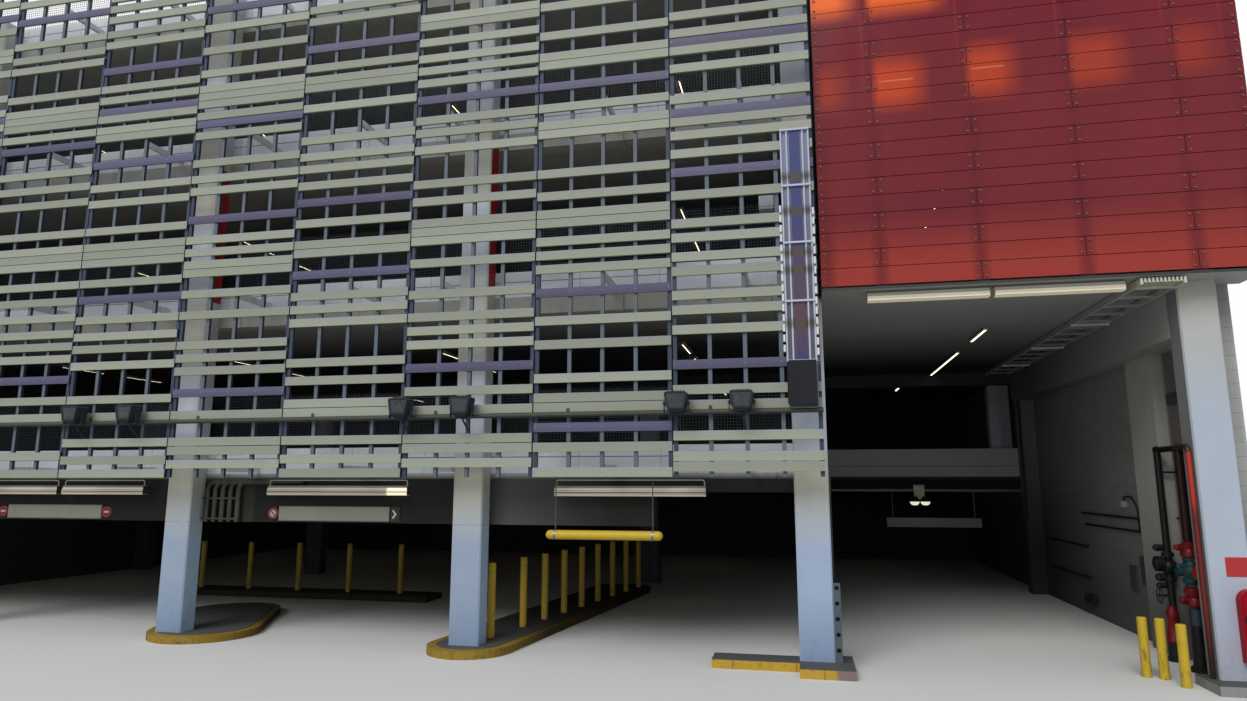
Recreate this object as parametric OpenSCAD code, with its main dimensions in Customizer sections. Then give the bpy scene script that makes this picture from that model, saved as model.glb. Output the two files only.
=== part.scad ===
// Multi storey car park. Open concrete decks stand behind a screen of pale louvre panels,
// and a tall vehicle bay at one end carries a front of red glass over two storeys high.

/* [Frame] */
// Spacing of the columns along the street front
bay_w = 5400; // [5200:50:5600]
// Spacing of the two columns beside the tall bay
tall_bay_w = 5300; // [5000:50:5600]
// From the face of the front columns to the middle of the middle row
mid_row_d = 9700; // [9000:50:10500]
// How far the middle row steps sideways from the front row
mid_row_shift = 1200; // [1000:50:1500]
// Spacing of the columns in the middle row
mid_bay_w = 5050; // [4900:50:5400]
// Storey height, deck to deck
storey_h = 2960; // [2900:20:3200]
// Top of the first deck above the street
first_deck_z = 2800; // [2750:10:2900]
// Width of a column along the front
column_w = 500; // [400:10:600]
// Depth of a column, square to the front
column_d = 350; // [300:10:450]
// Chamfer on the upright corners of a column
column_chamfer = 20; // [5:1:40]
// Thickness of a deck slab
slab_t = 200; // [150:5:260]
// Width of the beams along the deck edges
edge_beam_w = 300; // [220:10:400]
// How far an upper edge beam hangs below its slab
edge_beam_drop = 100; // [80:10:200]
// How far the first deck's front beam hangs below its slab
portal_beam_drop = 630; // [450:10:700]
// Length of the shallow stretch of that beam, beside the tall bay
portal_gap_w = 2670; // [600:10:3000]
// Width of the beam on the middle row
spine_beam_w = 450; // [350:10:600]
// How far the middle beam hangs below its slab
spine_beam_drop = 450; // [350:10:600]

/* [Parapets] */
// Height of the parapet panels on the deck edges
parapet_h = 440; // [400:10:800]
// Thickness of a parapet panel
parapet_t = 150; // [100:5:200]
// Open joint between two parapet panels
parapet_joint = 20; // [10:1:40]
// Height of the low wall on the deck edge at the back of the tall bay
bay_parapet_h = 700; // [500:10:800]

/* [Side wall] */
// Thickness of the block wall beside the tall bay
side_wall_t = 300; // [200:10:400]
// Width of the pier on the block wall
pier_w = 1000; // [400:10:1100]
// How far the pier stands out from the block wall
pier_d = 180; // [80:10:300]
// From the face of the columns to the middle of the pier
pier_y = 2450; // [2400:10:3200]
// Width of the pier at the back of the tall bay
back_pier_w = 350; // [300:10:400]
// Depth of the beam along the top of the block wall
wall_beam_h = 750; // [600:10:900]

/* [Louvre screens] */
// Width that one louvre panel takes on the front
panel_pitch = 2160; // [2060:10:2260]
// Open joint between two louvre panels
panel_joint = 20; // [8:1:40]
// How far the outside of the slats stands in front of the columns
screen_reach = 600; // [500:10:750]
// Height of one slat
slat_h = 140; // [110:1:146]
// Thickness of one slat
slat_t = 40; // [25:1:60]
// Step of the slats' setting-out, up the screen
course_h = 75; // [74:0.5:80]
// How far a dark slat sits back from the pale ones
dark_setback = 12; // [4:1:24]
// Height of the middle of the lowest slats above the street
first_slat_z = 2800; // [2780:5:2860]
// Width of the upright bars behind the slats
mullion_w = 60; // [40:2:80]
// Depth of the upright bars behind the slats
mullion_d = 100; // [60:5:140]
// Width of the arms that hold the screens
arm_w = 60; // [40:2:80]
// Height of the arms that hold the screens
arm_h = 100; // [60:5:140]
// Height of an arm above its deck
arm_lift = 20; // [5:5:120]
// How far the front screen ends past the middle of its last column
screen_end = 200; // [150:5:240]

/* [Red glass] */
// Height of the lower edge of the red glass above the street
glass_z = 5480; // [5460:5:5600]
// Height of one row of panes
pane_row_h = 272; // [250:1:300]
// Number of rows of panes
pane_rows = 27; // [24:1:27]
// Length of a full pane
pane_w = 2720; // [2500:10:2800]
// Thickness of the glass
glass_t = 20; // [12:1:30]
// Open joint between two panes
pane_joint = 10; // [6:1:16]
// How far the outside of the glass stands in front of the columns
glass_reach = 450; // [400:10:500]
// How far the glass runs past the block wall
glass_overhang = 150; // [50:10:250]
// Width of the posts behind the glass joints
post_w = 200; // [120:10:260]
// Depth of the posts behind the glass joints
post_d = 120; // [80:5:160]
// Thickness of the smooth ceiling over the tall bay
soffit_t = 40; // [20:5:80]

/* [Kerbs and bollards] */
// Height of the kerb stones round an island
kerb_h = 120; // [80:5:150]
// Width of the kerb stones
kerb_w = 150; // [100:5:180]
// How far the filling of an island stands above its kerb stones
fill_rise = 10; // [4:1:20]
// Half the width of the long island between two lanes
island_r = 680; // [600:10:800]
// Length of the long island between the middles of its round ends
island_l = 7400; // [5600:100:7600]
// How far the long island drifts sideways on its way back
island_drift = 860; // [500:20:1100]
// Half the width of the short island
short_island_r = 900; // [700:10:900]
// Length of the short island between the middles of its round ends
short_island_l = 1950; // [1500:50:2400]
// Outer radius of a bollard
bollard_r = 62; // [45:1:84]
// Height of the bollards on the long island
bollard_h = 1200; // [900:10:1300]
// Height of the bollards on the rear kerb
rear_bollard_h = 1100; // [900:10:1300]
// Height of the bollards before the block wall
wall_bollard_h = 800; // [700:10:1200]
// Number of bollards on the long island
lane_bollards = 9; // [5:1:9]
// Spacing of the bollards on the long island
lane_bollard_pitch = 830; // [700:5:840]
// Number of bollards on the rear kerb
rear_bollards = 5; // [3:1:5]
// Spacing of the bollards on the rear kerb
rear_bollard_pitch = 1320; // [1000:5:1340]

/* [Clearance bar] */
// Radius of the clearance bar
bar_r = 70; // [45:1:84]
// Length of the clearance bar with its round ends
bar_len = 1820; // [1500:10:2400]
// Height of the middle of the clearance bar above the street
bar_z = 1860; // [1800:10:1900]
// Radius of the rods that hang the bar
rod_r = 8; // [6:1:14]
// How far in from its ends the bar hangs on its rods
rod_inset = 150; // [100:10:300]

/* [Lights] */
// Width of a hanging light
hang_light_w = 150; // [100:5:200]
// Height of a hanging light
hang_light_h = 160; // [80:5:170]
// Length of a light under the front edge of the tall bay's ceiling
bay_light_l = 1670; // [1400:10:1800]
// Length of a strip light under a deck
strip_l = 1220; // [900:10:1500]
// Width of a strip light
strip_w = 90; // [60:5:140]
// Height of a strip light
strip_h = 60; // [40:5:90]
// Width of a floodlight
flood_w = 330; // [260:10:400]
// Depth of a floodlight
flood_d = 240; // [180:10:260]
// Height of a floodlight
flood_h = 300; // [220:10:340]
// Radius of the floodlight rail
flood_rail_r = 35; // [20:1:45]

/* [Signs] */
// Length of a direction sign
sign_l = 2090; // [1600:10:2120]
// Height of a direction sign
sign_h = 250; // [160:5:280]
// Thickness of a direction sign
sign_t = 30; // [15:1:60]
// Width of the upright sign
blade_w = 430; // [360:10:500]
// Height of the upright sign
blade_h = 3540; // [3000:20:3900]
// Height of the foot of the upright sign above the street
blade_z = 4360; // [4300:10:4500]
// Radius of the tubes of the upright sign
blade_tube_r = 14; // [10:1:18]
// Width of the dark strip in the middle of the upright sign
blade_strip_w = 150; // [100:5:180]

/* [Hidden] */

concrete = "gainsboro";
steel = "slategray";
slat_colour = "beige";
yellow = "gold";

// The rhythm of each louvre panel, from the bottom up. Each figure is the step in courses
// to the next pale slat, and a letter, a for 1 to i for 9, the step to a dark slat.
RHYTHMS = [
    "0494e5334445224844g33224834g534",
    "034648434e4522474f723b33e7343354",
    "2326e533755233e7347c2322466e6326",
    "0346254933e525e44348523e7362f53",
    "23264e5335752254843e43344264d646",
    "05d42475f5334245924e5257343g543",
    "12463e74353436e443b374b247426d464"];

// Which rhythm each panel of the front and of the other sides takes, from left to right
FRONT_ORDER = [4, 1, 6, 0, 1, 2, 3, 4, 5, 6];
SIDE_ORDER = [2, 5, 0, 3, 6, 1, 4, 2, 5];
REAR_ORDER = [3, 0, 6, 4, 2, 1, 5, 3, 0, 6];
panel_courses = 136;

screen_t = slat_t + mullion_d;

// Widths and depths, measured from the middle and the face of the column beside the tall bay
front_panels = len(FRONT_ORDER);
side_panels = len(SIDE_ORDER);
screen_left = screen_end - front_panels * panel_pitch;
wall_left = tall_bay_w + column_w / 2;
glass_right = wall_left + side_wall_t + glass_overhang;
rail_gap = 10;
sleeve_t = 10;
yoke_gap = 6;
flood_reach = rail_gap + 2 * flood_rail_r + sleeve_t + yoke_gap + flood_d;
front_most = -screen_reach - flood_reach;
side_run_w = side_panels * panel_pitch;
back_most = 2 * screen_t + side_run_w - screen_reach;

// Where the middle of that column and the front of the columns lie in the part's own frame
x0 = -(screen_left + glass_right) / 2;
y0 = -(front_most + back_most) / 2;

// Deck edges and columns
deck_left = x0 + screen_left + screen_reach;
deck_front = y0 + column_d;
rear_face = y0 + back_most - screen_reach;
deck_back = rear_face - column_d;
deck_right = x0 + wall_left;
corner_x = deck_left + column_w / 2;
bays = 3;
front_x = concat([corner_x], [for (i = [bays:-1:0]) x0 - i * bay_w], [x0 + tall_bay_w]);
mid_y = y0 + mid_row_d;
last_mid_x = x0 - bay_w + mid_row_shift;
mid_x = concat([deck_left + edge_beam_w + column_w / 2],
    [for (i = [bays - 1:-1:0]) last_mid_x - i * mid_bay_w]);
bay_column_x = x0 + tall_bay_w - 430;
bay_edge = x0 + column_w / 2;
function bay_middle(i) = (front_x[i] + front_x[i + 1]) / 2;

// Levels
decks = 4;
function deck_z(i) = first_deck_z + i * storey_h;
roof_z = deck_z(decks - 1);
column_top = roof_z + parapet_h;
ceiling_z = deck_z(1) - slab_t - edge_beam_drop - soffit_t;
function beam_drop(i) = i == 0 ? portal_beam_drop : edge_beam_drop;

// Screens
screen_y = y0 - screen_reach;
panel_w = panel_pitch - panel_joint;
screen_h = panel_courses * course_h;
screen_foot = first_slat_z - slat_h / 2;
mullions = 5;

// Red glass
glass_left = x0 + column_w / 2;
glass_w = x0 + glass_right - glass_left;
joint_step = pane_w / 2;
first_joint = 850;
end_plate_t = 20;
joint_lines = [for (x = [first_joint:joint_step:glass_w - post_w]) x];

// Islands, each set out from the column that it stands round or beside
island_x = 10 - bay_w;
island_y = 270;
short_island_x = 270 - 2 * bay_w;
short_island_y = 590;
short_island_drift = -970;
rear_kerb_x = 780 - bays * bay_w;
rear_kerb_y = 4940;
rear_kerb_w = 800;
rear_kerb_end = 200;
column_kerb_l = 1500;
column_kerb_y = 110;
bay_kerb_y = 490;
wall_kerb_l = 400;
wall_kerb_y = 330;
first_bollard_y = 740;
second_bollard_y = 1830;
bollard_side = 40;
bollard_drift = 0.16;
bollard_round = 20;
wall_bollards = [[-877, 630], [-687, 545], [-608, 92]];

// The clearance bar hangs over the lane beside the long island
bar_x = -3095;
bar_y = -200;
rod_x = bar_len / 2 - rod_inset;
hanger_w = 80;
hanger_t = 40;
hanger_over = 200;
ear_h = 50;
ear_t = 10;
eye_r = 22;
eye_w = 20;
eye_gap = 2;
pin_r = 10;
pin_gap = 0.3;
hanger_z = first_deck_z + arm_lift;
pin_z = hanger_z - hanger_t - ear_h + eye_r;

// Hanging lights as bay, place from the middle of the bay, and length
hang_lights = [[0, 0, 2360], [1, -915, 1750], [1, 950, 1750], [2, 255, 2620], [3, -80, 2410]];
hang_light_gap = 80;
hang_light_z = first_deck_z - 365;
bracket_w = 40;
bracket_h = 60;
bracket_inset = 250;

// Lights of the tall bay
bay_light_x = 650;
bay_light_y = -330;
bay_light_gap = 70;
bay_strip_x = 2900;
bay_strips = [[3000, 1260], [5670, 3700]];
spot_x = 2400;
spot_pitch = 260;
spot_r = 75;
spot_drop = 280;
spot_plate_t = 40;

// Strip lights under the decks, as distances behind the columns
strip_shift = 200;
strip_y = [4200, 6200, 13000];

// Signs on the portal beam as bay, place from the middle of the bay, and the kind of its right end
signs = [[1, -250, "disc"], [2, 115, "arrow"]];
sign_lift = 25;
sign_z = first_deck_z - slab_t - portal_beam_drop + sign_lift;
disc_r = 95;
disc_gap = 20;
arrow_w = 170;
arrow_bar = 22;

// Floodlights as column and place from its middle, on a rail under one row of pale slats
floods = [[0, -1200], [0, -150], [1, -1530], [1, -430], [2, -810], [2, 210], [3, -1870], [3, -930]];
rail_course = 13;
rail_z = first_slat_z + rail_course * course_h - slat_h / 2 - flood_rail_r - rail_gap;
rail_y = -screen_reach - rail_gap - flood_rail_r;
clip_w = 50;
clip_t = 8;
flood_chamfer = 50;
yoke_t = 12;
sleeve_w = 60;

// Upright sign, on the last louvre panel
blade_x = -70;
blade_d = 60;
blade_rungs = 5;
strip_t = 20;
box_d = 200;
box_gap = 35;

// Pipes
conduit_r = 50;
conduit_pitch = 155;
conduits_n = 5;
conduit_left = 100;
conduit_bend = 150;
conduit_sweep = 70;
conduit_top = first_deck_z - 148;
conduit_run = 1900;
socket_t = 5;
clamp_w = 30;
clamp_t = 12;
clamp_z = [40, 390];
side_conduit_r = 16;
wall_pipe_r = 20;
wall_pipes = [[3350, 6300, 2030], [3350, 6150, 1810], [6200, 8950, 1360], [6200, 8750, 740]];
under_pipe_r = 45;

// Cable tray under the ceiling of the tall bay
tray_w = 560;
tray_side = 30;
tray_h = 90;
tray_drop = 110;
tray_gap = 20;
tray_front = 40;
rung_pitch = 600;
rung_w = 40;
strut_h = 40;
strut_over = 30;
strut_pitch = 2450;
strut_y = 2450;
hanger_r = 8;
comb_n = 12;
comb_t = 25;
comb_l = 330;

// Fire riser, as distance behind the face of the columns and radius of each pipe
risers = [[1840, 50], [1100, 60], [800, 45]];
riser_x = 250;
header_z = 3150;
elbow_over = 8;
flange_t = 24;
flange_over = 35;
valve_z = 1380;
valve_h = 360;
wheel_z = 950;
wheel_r = 110;
wheel_reach = 190;

// Red cabinet on the column beside the tall bay
cabinet_x = 30;
cabinet_w = 300;
cabinet_d = 130;
cabinet_z = 370;
cabinet_h = 910;
cabinet_lip = 12;

// Perforated guard post beside the column
post_holes = 5;
guard_w = 100;
guard_d = 60;
guard_wall = 6;
guard_h = 1090;
hole_r = 32;
hole_pitch = 215;
first_hole_z = 162;

// Height board at the back of the tall bay
board_x = 1720;
board_l = 2270;
board_h = 230;
board_t = 40;
board_z = 1530;

module block(low, high) {
    translate(low) cube(high - low);
}

module column_section() {
    c = column_chamfer;
    polygon([[c, 0], [column_w - c, 0], [column_w, c], [column_w, column_d - c],
        [column_w - c, column_d], [c, column_d], [0, column_d - c], [0, c]]);
}

module column_row(places, y, low, high) {
    for (x = places)
        translate([x - column_w / 2, y, low]) linear_extrude(high - low) column_section();
}

module front_columns() {
    color(concrete) column_row(front_x, y0, 0, column_top);
}

module rear_columns() {
    color(concrete) column_row(front_x, deck_back, 0, column_top);
}

// The middle row stands in storey-high lengths, each from a deck to the beam above it. One
// more stands behind the low wall at the back of the tall bay.
module middle_columns() {
    color(concrete) for (i = [0:decks - 1])
        column_row(mid_x, mid_y - column_d / 2, i == 0 ? 0 : deck_z(i - 1),
            deck_z(i) - slab_t - spine_beam_drop);
    color(concrete) column_row([bay_column_x], mid_y + parapet_t, first_deck_z,
        deck_z(1) - slab_t - spine_beam_drop);
}

module slab(i) {
    block([deck_left, deck_front, deck_z(i) - slab_t], [deck_right, deck_back, deck_z(i)]);
}

// The first deck stops short of the tall bay, back to the middle row
module deck_2() {
    color(concrete) difference() {
        slab(0);
        block([bay_edge, deck_front - 1, 0], [deck_right + 1, mid_y, first_deck_z + 1]);
    }
}

module deck_3() {
    color(concrete) slab(1);
}

module deck_4() {
    color(concrete) slab(2);
}

module roof_deck() {
    color(concrete) slab(3);
}

// The first deck's front beam is deep up to the last lane and shallow from there on
module front_beams() {
    gap_x = bay_edge - portal_gap_w;
    color(concrete) {
        for (i = [0:decks - 1])
            block([deck_left, deck_front, deck_z(i) - slab_t - edge_beam_drop],
                [i == 0 ? bay_edge : deck_right, deck_front + edge_beam_w, deck_z(i) - slab_t]);
        block([deck_left, deck_front, first_deck_z - slab_t - portal_beam_drop],
            [gap_x, deck_front + edge_beam_w, first_deck_z - slab_t - edge_beam_drop]);
    }
}

module rear_beams() {
    color(concrete) for (i = [0:decks - 1])
        block([deck_left, deck_back - edge_beam_w, deck_z(i) - slab_t - beam_drop(i)],
            [deck_right, deck_back, deck_z(i) - slab_t]);
}

module middle_beams() {
    color(concrete) for (i = [0:decks - 1])
        block([deck_left + edge_beam_w, mid_y - spine_beam_w / 2,
                deck_z(i) - slab_t - spine_beam_drop],
            [i == 0 ? bay_edge - edge_beam_w : deck_right, mid_y + spine_beam_w / 2,
                deck_z(i) - slab_t]);
}

// Beams on the left edge of each deck, and on the edge of the first deck beside the tall bay
module side_beams() {
    front = deck_front + edge_beam_w;
    back = deck_back - edge_beam_w;
    color(concrete) {
        for (i = [0:decks - 1])
            block([deck_left, front, deck_z(i) - slab_t - edge_beam_drop],
                [deck_left + edge_beam_w, back, deck_z(i) - slab_t]);
        block([bay_edge - edge_beam_w, front, first_deck_z - slab_t - portal_beam_drop],
            [bay_edge, mid_y, first_deck_z - slab_t]);
        block([bay_edge, mid_y, first_deck_z - slab_t - edge_beam_drop],
            [deck_right, mid_y + edge_beam_w, first_deck_z - slab_t]);
    }
}

// Parapet panels run from the middle of one column to the middle of the next
module parapet_row(places, y, z) {
    for (i = [0:len(places) - 2]) {
        start = i == 0 ? deck_left : places[i] + parapet_joint / 2;
        end = i == len(places) - 2 ? places[i + 1] : places[i + 1] - parapet_joint / 2;
        block([start, y, z], [end, y + parapet_t, z + parapet_h]);
    }
}

module front_parapets() {
    whole = [for (i = [0:bays + 1]) front_x[i]];
    color(concrete) for (i = [0:decks - 1]) {
        row = i == 0 ? concat([for (j = [0:bays]) front_x[j]], [bay_edge])
            : concat(whole, [deck_right]);
        parapet_row(row, deck_front, deck_z(i));
    }
}

module rear_parapets() {
    row = concat([for (i = [0:bays + 1]) front_x[i]], [deck_right]);
    color(concrete) for (i = [0:decks - 1])
        parapet_row(row, deck_back - parapet_t, deck_z(i));
}

module side_parapets() {
    front = deck_front + parapet_t;
    back = deck_back - parapet_t;
    half = parapet_joint / 2;
    color(concrete) {
        for (i = [0:decks - 1]) {
            block([deck_left, front, deck_z(i)],
                [deck_left + parapet_t, mid_y - half, deck_z(i) + parapet_h]);
            block([deck_left, mid_y + half, deck_z(i)],
                [deck_left + parapet_t, back, deck_z(i) + parapet_h]);
        }
        block([bay_edge - parapet_t, front, first_deck_z],
            [bay_edge, mid_y, first_deck_z + parapet_h]);
        block([bay_edge, mid_y, first_deck_z],
            [deck_right, mid_y + parapet_t, first_deck_z + bay_parapet_h]);
    }
}

// The back and the left end are closed by walls on the parapets, up to the beams above
function wall_foot(i) = i == 0 ? 0 : deck_z(i - 1) + parapet_h;

module rear_walls() {
    color("darkgray") for (i = [0:decks - 1])
        block([deck_left, deck_back - parapet_t, wall_foot(i)],
            [deck_right, deck_back, deck_z(i) - slab_t - beam_drop(i)]);
}

module end_walls() {
    inner = deck_left + parapet_t;
    back = deck_back - parapet_t;
    portal_foot = first_deck_z - slab_t - portal_beam_drop;
    color("darkgray") {
        block([deck_left, deck_front, 0], [inner, back, portal_foot]);
        block([deck_left, deck_front + edge_beam_w, portal_foot],
            [inner, deck_back - edge_beam_w, first_deck_z - slab_t - edge_beam_drop]);
        for (i = [1:decks - 1])
            block([deck_left, deck_front, wall_foot(i)],
                [inner, back, deck_z(i) - slab_t - edge_beam_drop]);
    }
}

// The block wall, its pier, and the wide pier that stands before the middle row of columns
module side_wall() {
    pier_top = ceiling_z - wall_beam_h;
    back_pier_top = deck_z(1) - slab_t - spine_beam_drop;
    color("darkgray") {
        block([deck_right, deck_front, 0], [deck_right + side_wall_t, rear_face, column_top]);
        block([deck_right - pier_d, y0 + pier_y - pier_w / 2, 0],
            [deck_right, y0 + pier_y + pier_w / 2, pier_top]);
        block([deck_right - back_pier_w, mid_y - column_d, 0], [deck_right, mid_y, back_pier_top]);
    }
}

module wall_beam() {
    color("darkgray") block([deck_right - column_w, deck_front, ceiling_z - wall_beam_h],
        [deck_right, mid_y - column_d, ceiling_z]);
}

module tall_bay_ceiling() {
    color("silver") difference() {
        union() {
            block([bay_edge, y0 - glass_reach + glass_t, ceiling_z],
                [deck_right, mid_y - spine_beam_w / 2, ceiling_z + soffit_t]);
            block([deck_right, y0 - glass_reach + glass_t, ceiling_z],
                [x0 + glass_right, deck_front, ceiling_z + soffit_t]);
        }
        block([deck_right - column_w, y0, 0],
            [deck_right + parapet_joint / 2, deck_front, column_top]);
    }
}

// Reads one letter or figure of a rhythm
function is_dark(c) = len(search(c, "abcdefghi")) > 0;
function step_of(c) = is_dark(c) ? search(c, "abcdefghi")[0] + 1 : search(c, "0123456789")[0];
function course_of(rhythm, n) = n < 0 ? 0 : course_of(rhythm, n - 1) + step_of(rhythm[n]);

// One louvre panel, with its left lower front corner at the origin
module louvre_panel(rhythm) {
    for (i = [0:mullions - 1])
        translate([i * (panel_w - mullion_w) / (mullions - 1), slat_t, 0])
            cube([mullion_w, mullion_d, screen_h]);
    for (n = [0:len(rhythm) - 1]) {
        back = is_dark(rhythm[n]) ? dark_setback : 0;
        translate([0, back, course_of(rhythm, n) * course_h])
            cube([panel_w, slat_t - back, slat_h]);
    }
}

module panel_run(order, first, last) {
    color(slat_colour) for (i = [first:last])
        translate([i * panel_pitch + panel_joint / 2, 0, 0]) louvre_panel(RHYTHMS[order[i]]);
}

module front_run(first, last) {
    translate([x0 + screen_left, screen_y, screen_foot]) panel_run(FRONT_ORDER, first, last);
}

// The side screen runs between the front screen and the rear one
module side_run(first, last) {
    translate([x0 + screen_left, screen_y + screen_t + side_run_w, screen_foot])
        rotate([0, 0, -90])
        panel_run(SIDE_ORDER, first, last);
}

module rear_run(first, last) {
    translate([x0 + screen_end, y0 + back_most, screen_foot]) rotate([0, 0, 180])
        panel_run(REAR_ORDER, first, last);
}

module front_screen_1() { front_run(0, 1); }
module front_screen_2() { front_run(2, 3); }
module front_screen_3() { front_run(4, 5); }
module front_screen_4() { front_run(6, 7); }
module front_screen_5() { front_run(8, 9); }
module side_screen_1() { side_run(0, 2); }
module side_screen_2() { side_run(3, 5); }
module side_screen_3() { side_run(6, 8); }
module rear_screen_1() { rear_run(0, 2); }
module rear_screen_2() { rear_run(3, 4); }
module rear_screen_3() { rear_run(5, 7); }
module rear_screen_4() { rear_run(8, 9); }

// An arm at each deck reaches from the parapet to one upright of each panel, clear of the columns
arm_len = screen_reach - screen_t + column_d;
function clear_of(x, places) =
    min([for (p = places) abs(x - p)]) > column_w / 2 + arm_w / 2 + parapet_joint;
function mullion_x(i, k) = i * panel_pitch + panel_joint / 2 + mullion_w / 2
    + k * (panel_w - mullion_w) / (mullions - 1);
function arm_x(i) = clear_of(x0 + screen_left + mullion_x(i, 2), front_x) ? mullion_x(i, 2)
    : clear_of(x0 + screen_left + mullion_x(i, 1), front_x) ? mullion_x(i, 1) : mullion_x(i, 3);

module screen_arms() {
    inner = deck_front + parapet_t;
    outer = deck_back - parapet_t;
    color(steel) for (level = [0:decks - 1]) {
        z = deck_z(level) + arm_lift;
        for (i = [0:front_panels - 1]) {
            x = x0 + screen_left + arm_x(i);
            for (y = [screen_y + screen_t, deck_back])
                translate([x - arm_w / 2, y, z]) cube([arm_w, arm_len, arm_h]);
        }
        for (i = [0:side_panels - 1]) {
            y = screen_y + screen_t + mullion_x(i, 2);
            if (y > inner && y < outer && abs(y - mid_y) > arm_w)
                translate([x0 + screen_left + screen_t, y - arm_w / 2, z])
                    cube([screen_reach - screen_t, arm_w, arm_h]);
        }
    }
}

// Rows of red panes in running bond. A post stands behind every joint line, and a plate closes
// the end past the block wall.
module glass_panes() {
    color("firebrick") for (row = [0:pane_rows - 1]) {
        odd = row % 2;
        cuts = concat([0], [for (i = [0:len(joint_lines) - 1]) if (i % 2 != odd) joint_lines[i]],
            [glass_w]);
        for (i = [0:len(cuts) - 2])
            block([glass_left + cuts[i] + (i == 0 ? 0 : pane_joint / 2),
                    y0 - glass_reach, glass_z + row * pane_row_h],
                [glass_left + cuts[i + 1] - (i == len(cuts) - 2 ? 0 : pane_joint / 2),
                    y0 - glass_reach + glass_t, glass_z + (row + 1) * pane_row_h - pane_joint]);
    }
}

module glass_posts() {
    low = ceiling_z + soffit_t;
    high = glass_z + pane_rows * pane_row_h;
    back = y0 - glass_reach + glass_t;
    color("indigo") {
        for (x = concat([post_w / 2], joint_lines, [glass_w - post_w / 2]))
            block([glass_left + x - post_w / 2, back, low],
                [glass_left + x + post_w / 2, back + post_d, high]);
        block([glass_left + glass_w - post_w, back + post_d, low],
            [glass_left + glass_w - post_w + end_plate_t, deck_front, high]);
        for (x = joint_lines, i = [1:decks - 1])
            if (clear_of(glass_left + x, front_x))
                block([glass_left + x - arm_w / 2, back + post_d, deck_z(i) + arm_lift],
                    [glass_left + x + arm_w / 2, deck_front, deck_z(i) + arm_lift + arm_h]);
    }
}

// A kerbed island with round ends, from one end's middle to the other's. The filling
// stands a little above the kerb stones.
module round_island(from, run, r) {
    length = norm(run);
    translate([x0 + from[0], y0 + from[1], 0]) rotate([0, 0, atan2(run[1], run[0])])
        for (step = [[r, kerb_h], [r - kerb_w, kerb_h + fill_rise]]) {
            cylinder(r = step[0], h = step[1], $fn = 160);
            translate([length, 0, 0]) cylinder(r = step[0], h = step[1], $fn = 160);
            translate([0, -step[0], 0]) cube([length, 2 * step[0], step[1]]);
        }
}

module kerb_block(low, high) {
    block([x0 + low[0], y0 + low[1], 0], [x0 + high[0], y0 + high[1], kerb_h + fill_rise]);
}

module kerb_islands() {
    color(yellow) difference() {
        union() {
            round_island([island_x, island_y], [island_drift, island_l], island_r);
            round_island([short_island_x, short_island_y], [short_island_drift, short_island_l],
                short_island_r);
            kerb_block([-column_kerb_l, -column_kerb_y], [-column_w / 2, column_d]);
            kerb_block([-column_w / 2, -bay_kerb_y], [column_w, column_d + kerb_w]);
            kerb_block([tall_bay_w - wall_kerb_l, -wall_kerb_y],
                [tall_bay_w + column_w / 2, column_d]);
            kerb_block([rear_kerb_x, rear_kerb_y],
                [rear_kerb_x + 2 * rear_kerb_end + rear_bollards * rear_bollard_pitch,
                    rear_kerb_y + rear_kerb_w]);
        }
        column_row(front_x, y0, -1, kerb_h + fill_rise + 1);
    }
}

// A steel pipe with a flat cap, rounded off at its rim
module bollard(x, y, z, h) {
    flat = bollard_r - bollard_round;
    translate([x0 + x, y0 + y, z]) rotate_extrude($fn = 32) union() {
        square([bollard_r, h - bollard_round]);
        square([flat, h]);
        translate([flat, h - bollard_round]) circle(r = bollard_round, $fn = 24);
    }
}

module bollards() {
    top = kerb_h + fill_rise;
    color(yellow) {
        for (i = [0:lane_bollards - 1]) {
            y = i == 0 ? first_bollard_y : second_bollard_y + (i - 1) * lane_bollard_pitch;
            bollard(island_x + bollard_side + bollard_drift * y, y, top, bollard_h);
        }
        for (i = [0:rear_bollards - 1])
            bollard(rear_kerb_x + rear_kerb_end + (i + 0.5) * rear_bollard_pitch,
                rear_kerb_y + rear_kerb_w / 2, top, rear_bollard_h);
        for (p = wall_bollards)
            bollard(tall_bay_w + p[0], p[1], 0, wall_bollard_h);
    }
}

// The yellow pipe that drivers pass under hangs on two rods, each with an eye on a pin
module bar_hanger() {
    y = y0 + bar_y;
    color(steel) {
        block([x0 + bar_x - rod_x - hanger_over, y - hanger_w / 2, hanger_z - hanger_t],
            [x0 + bar_x + rod_x + hanger_over, y + hanger_w / 2, hanger_z]);
        for (s = [-1, 1]) translate([x0 + bar_x + s * rod_x, y, 0]) {
            for (e = [-1, 1])
                translate([e * (eye_w / 2 + eye_gap + ear_t / 2), 0, hanger_z - hanger_t - ear_h / 2])
                    cube([ear_t, 2 * eye_r, ear_h], center = true);
            translate([0, 0, pin_z]) rotate([0, 90, 0])
                cylinder(r = pin_r, h = eye_w + 2 * (eye_gap + ear_t), center = true, $fn = 32);
        }
    }
}

module clearance_bar() {
    half = bar_len / 2 - bar_r;
    color(yellow) translate([x0 + bar_x, y0 + bar_y, bar_z]) rotate([0, 90, 0])
        rotate_extrude($fn = 48) union() {
            translate([0, -half]) square([bar_r, 2 * half]);
            intersection() {
                union() {
                    translate([0, half]) circle(r = bar_r, $fn = 48);
                    translate([0, -half]) circle(r = bar_r, $fn = 48);
                }
                translate([0, -bar_len]) square([bar_r, 2 * bar_len]);
            }
        }
}

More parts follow.
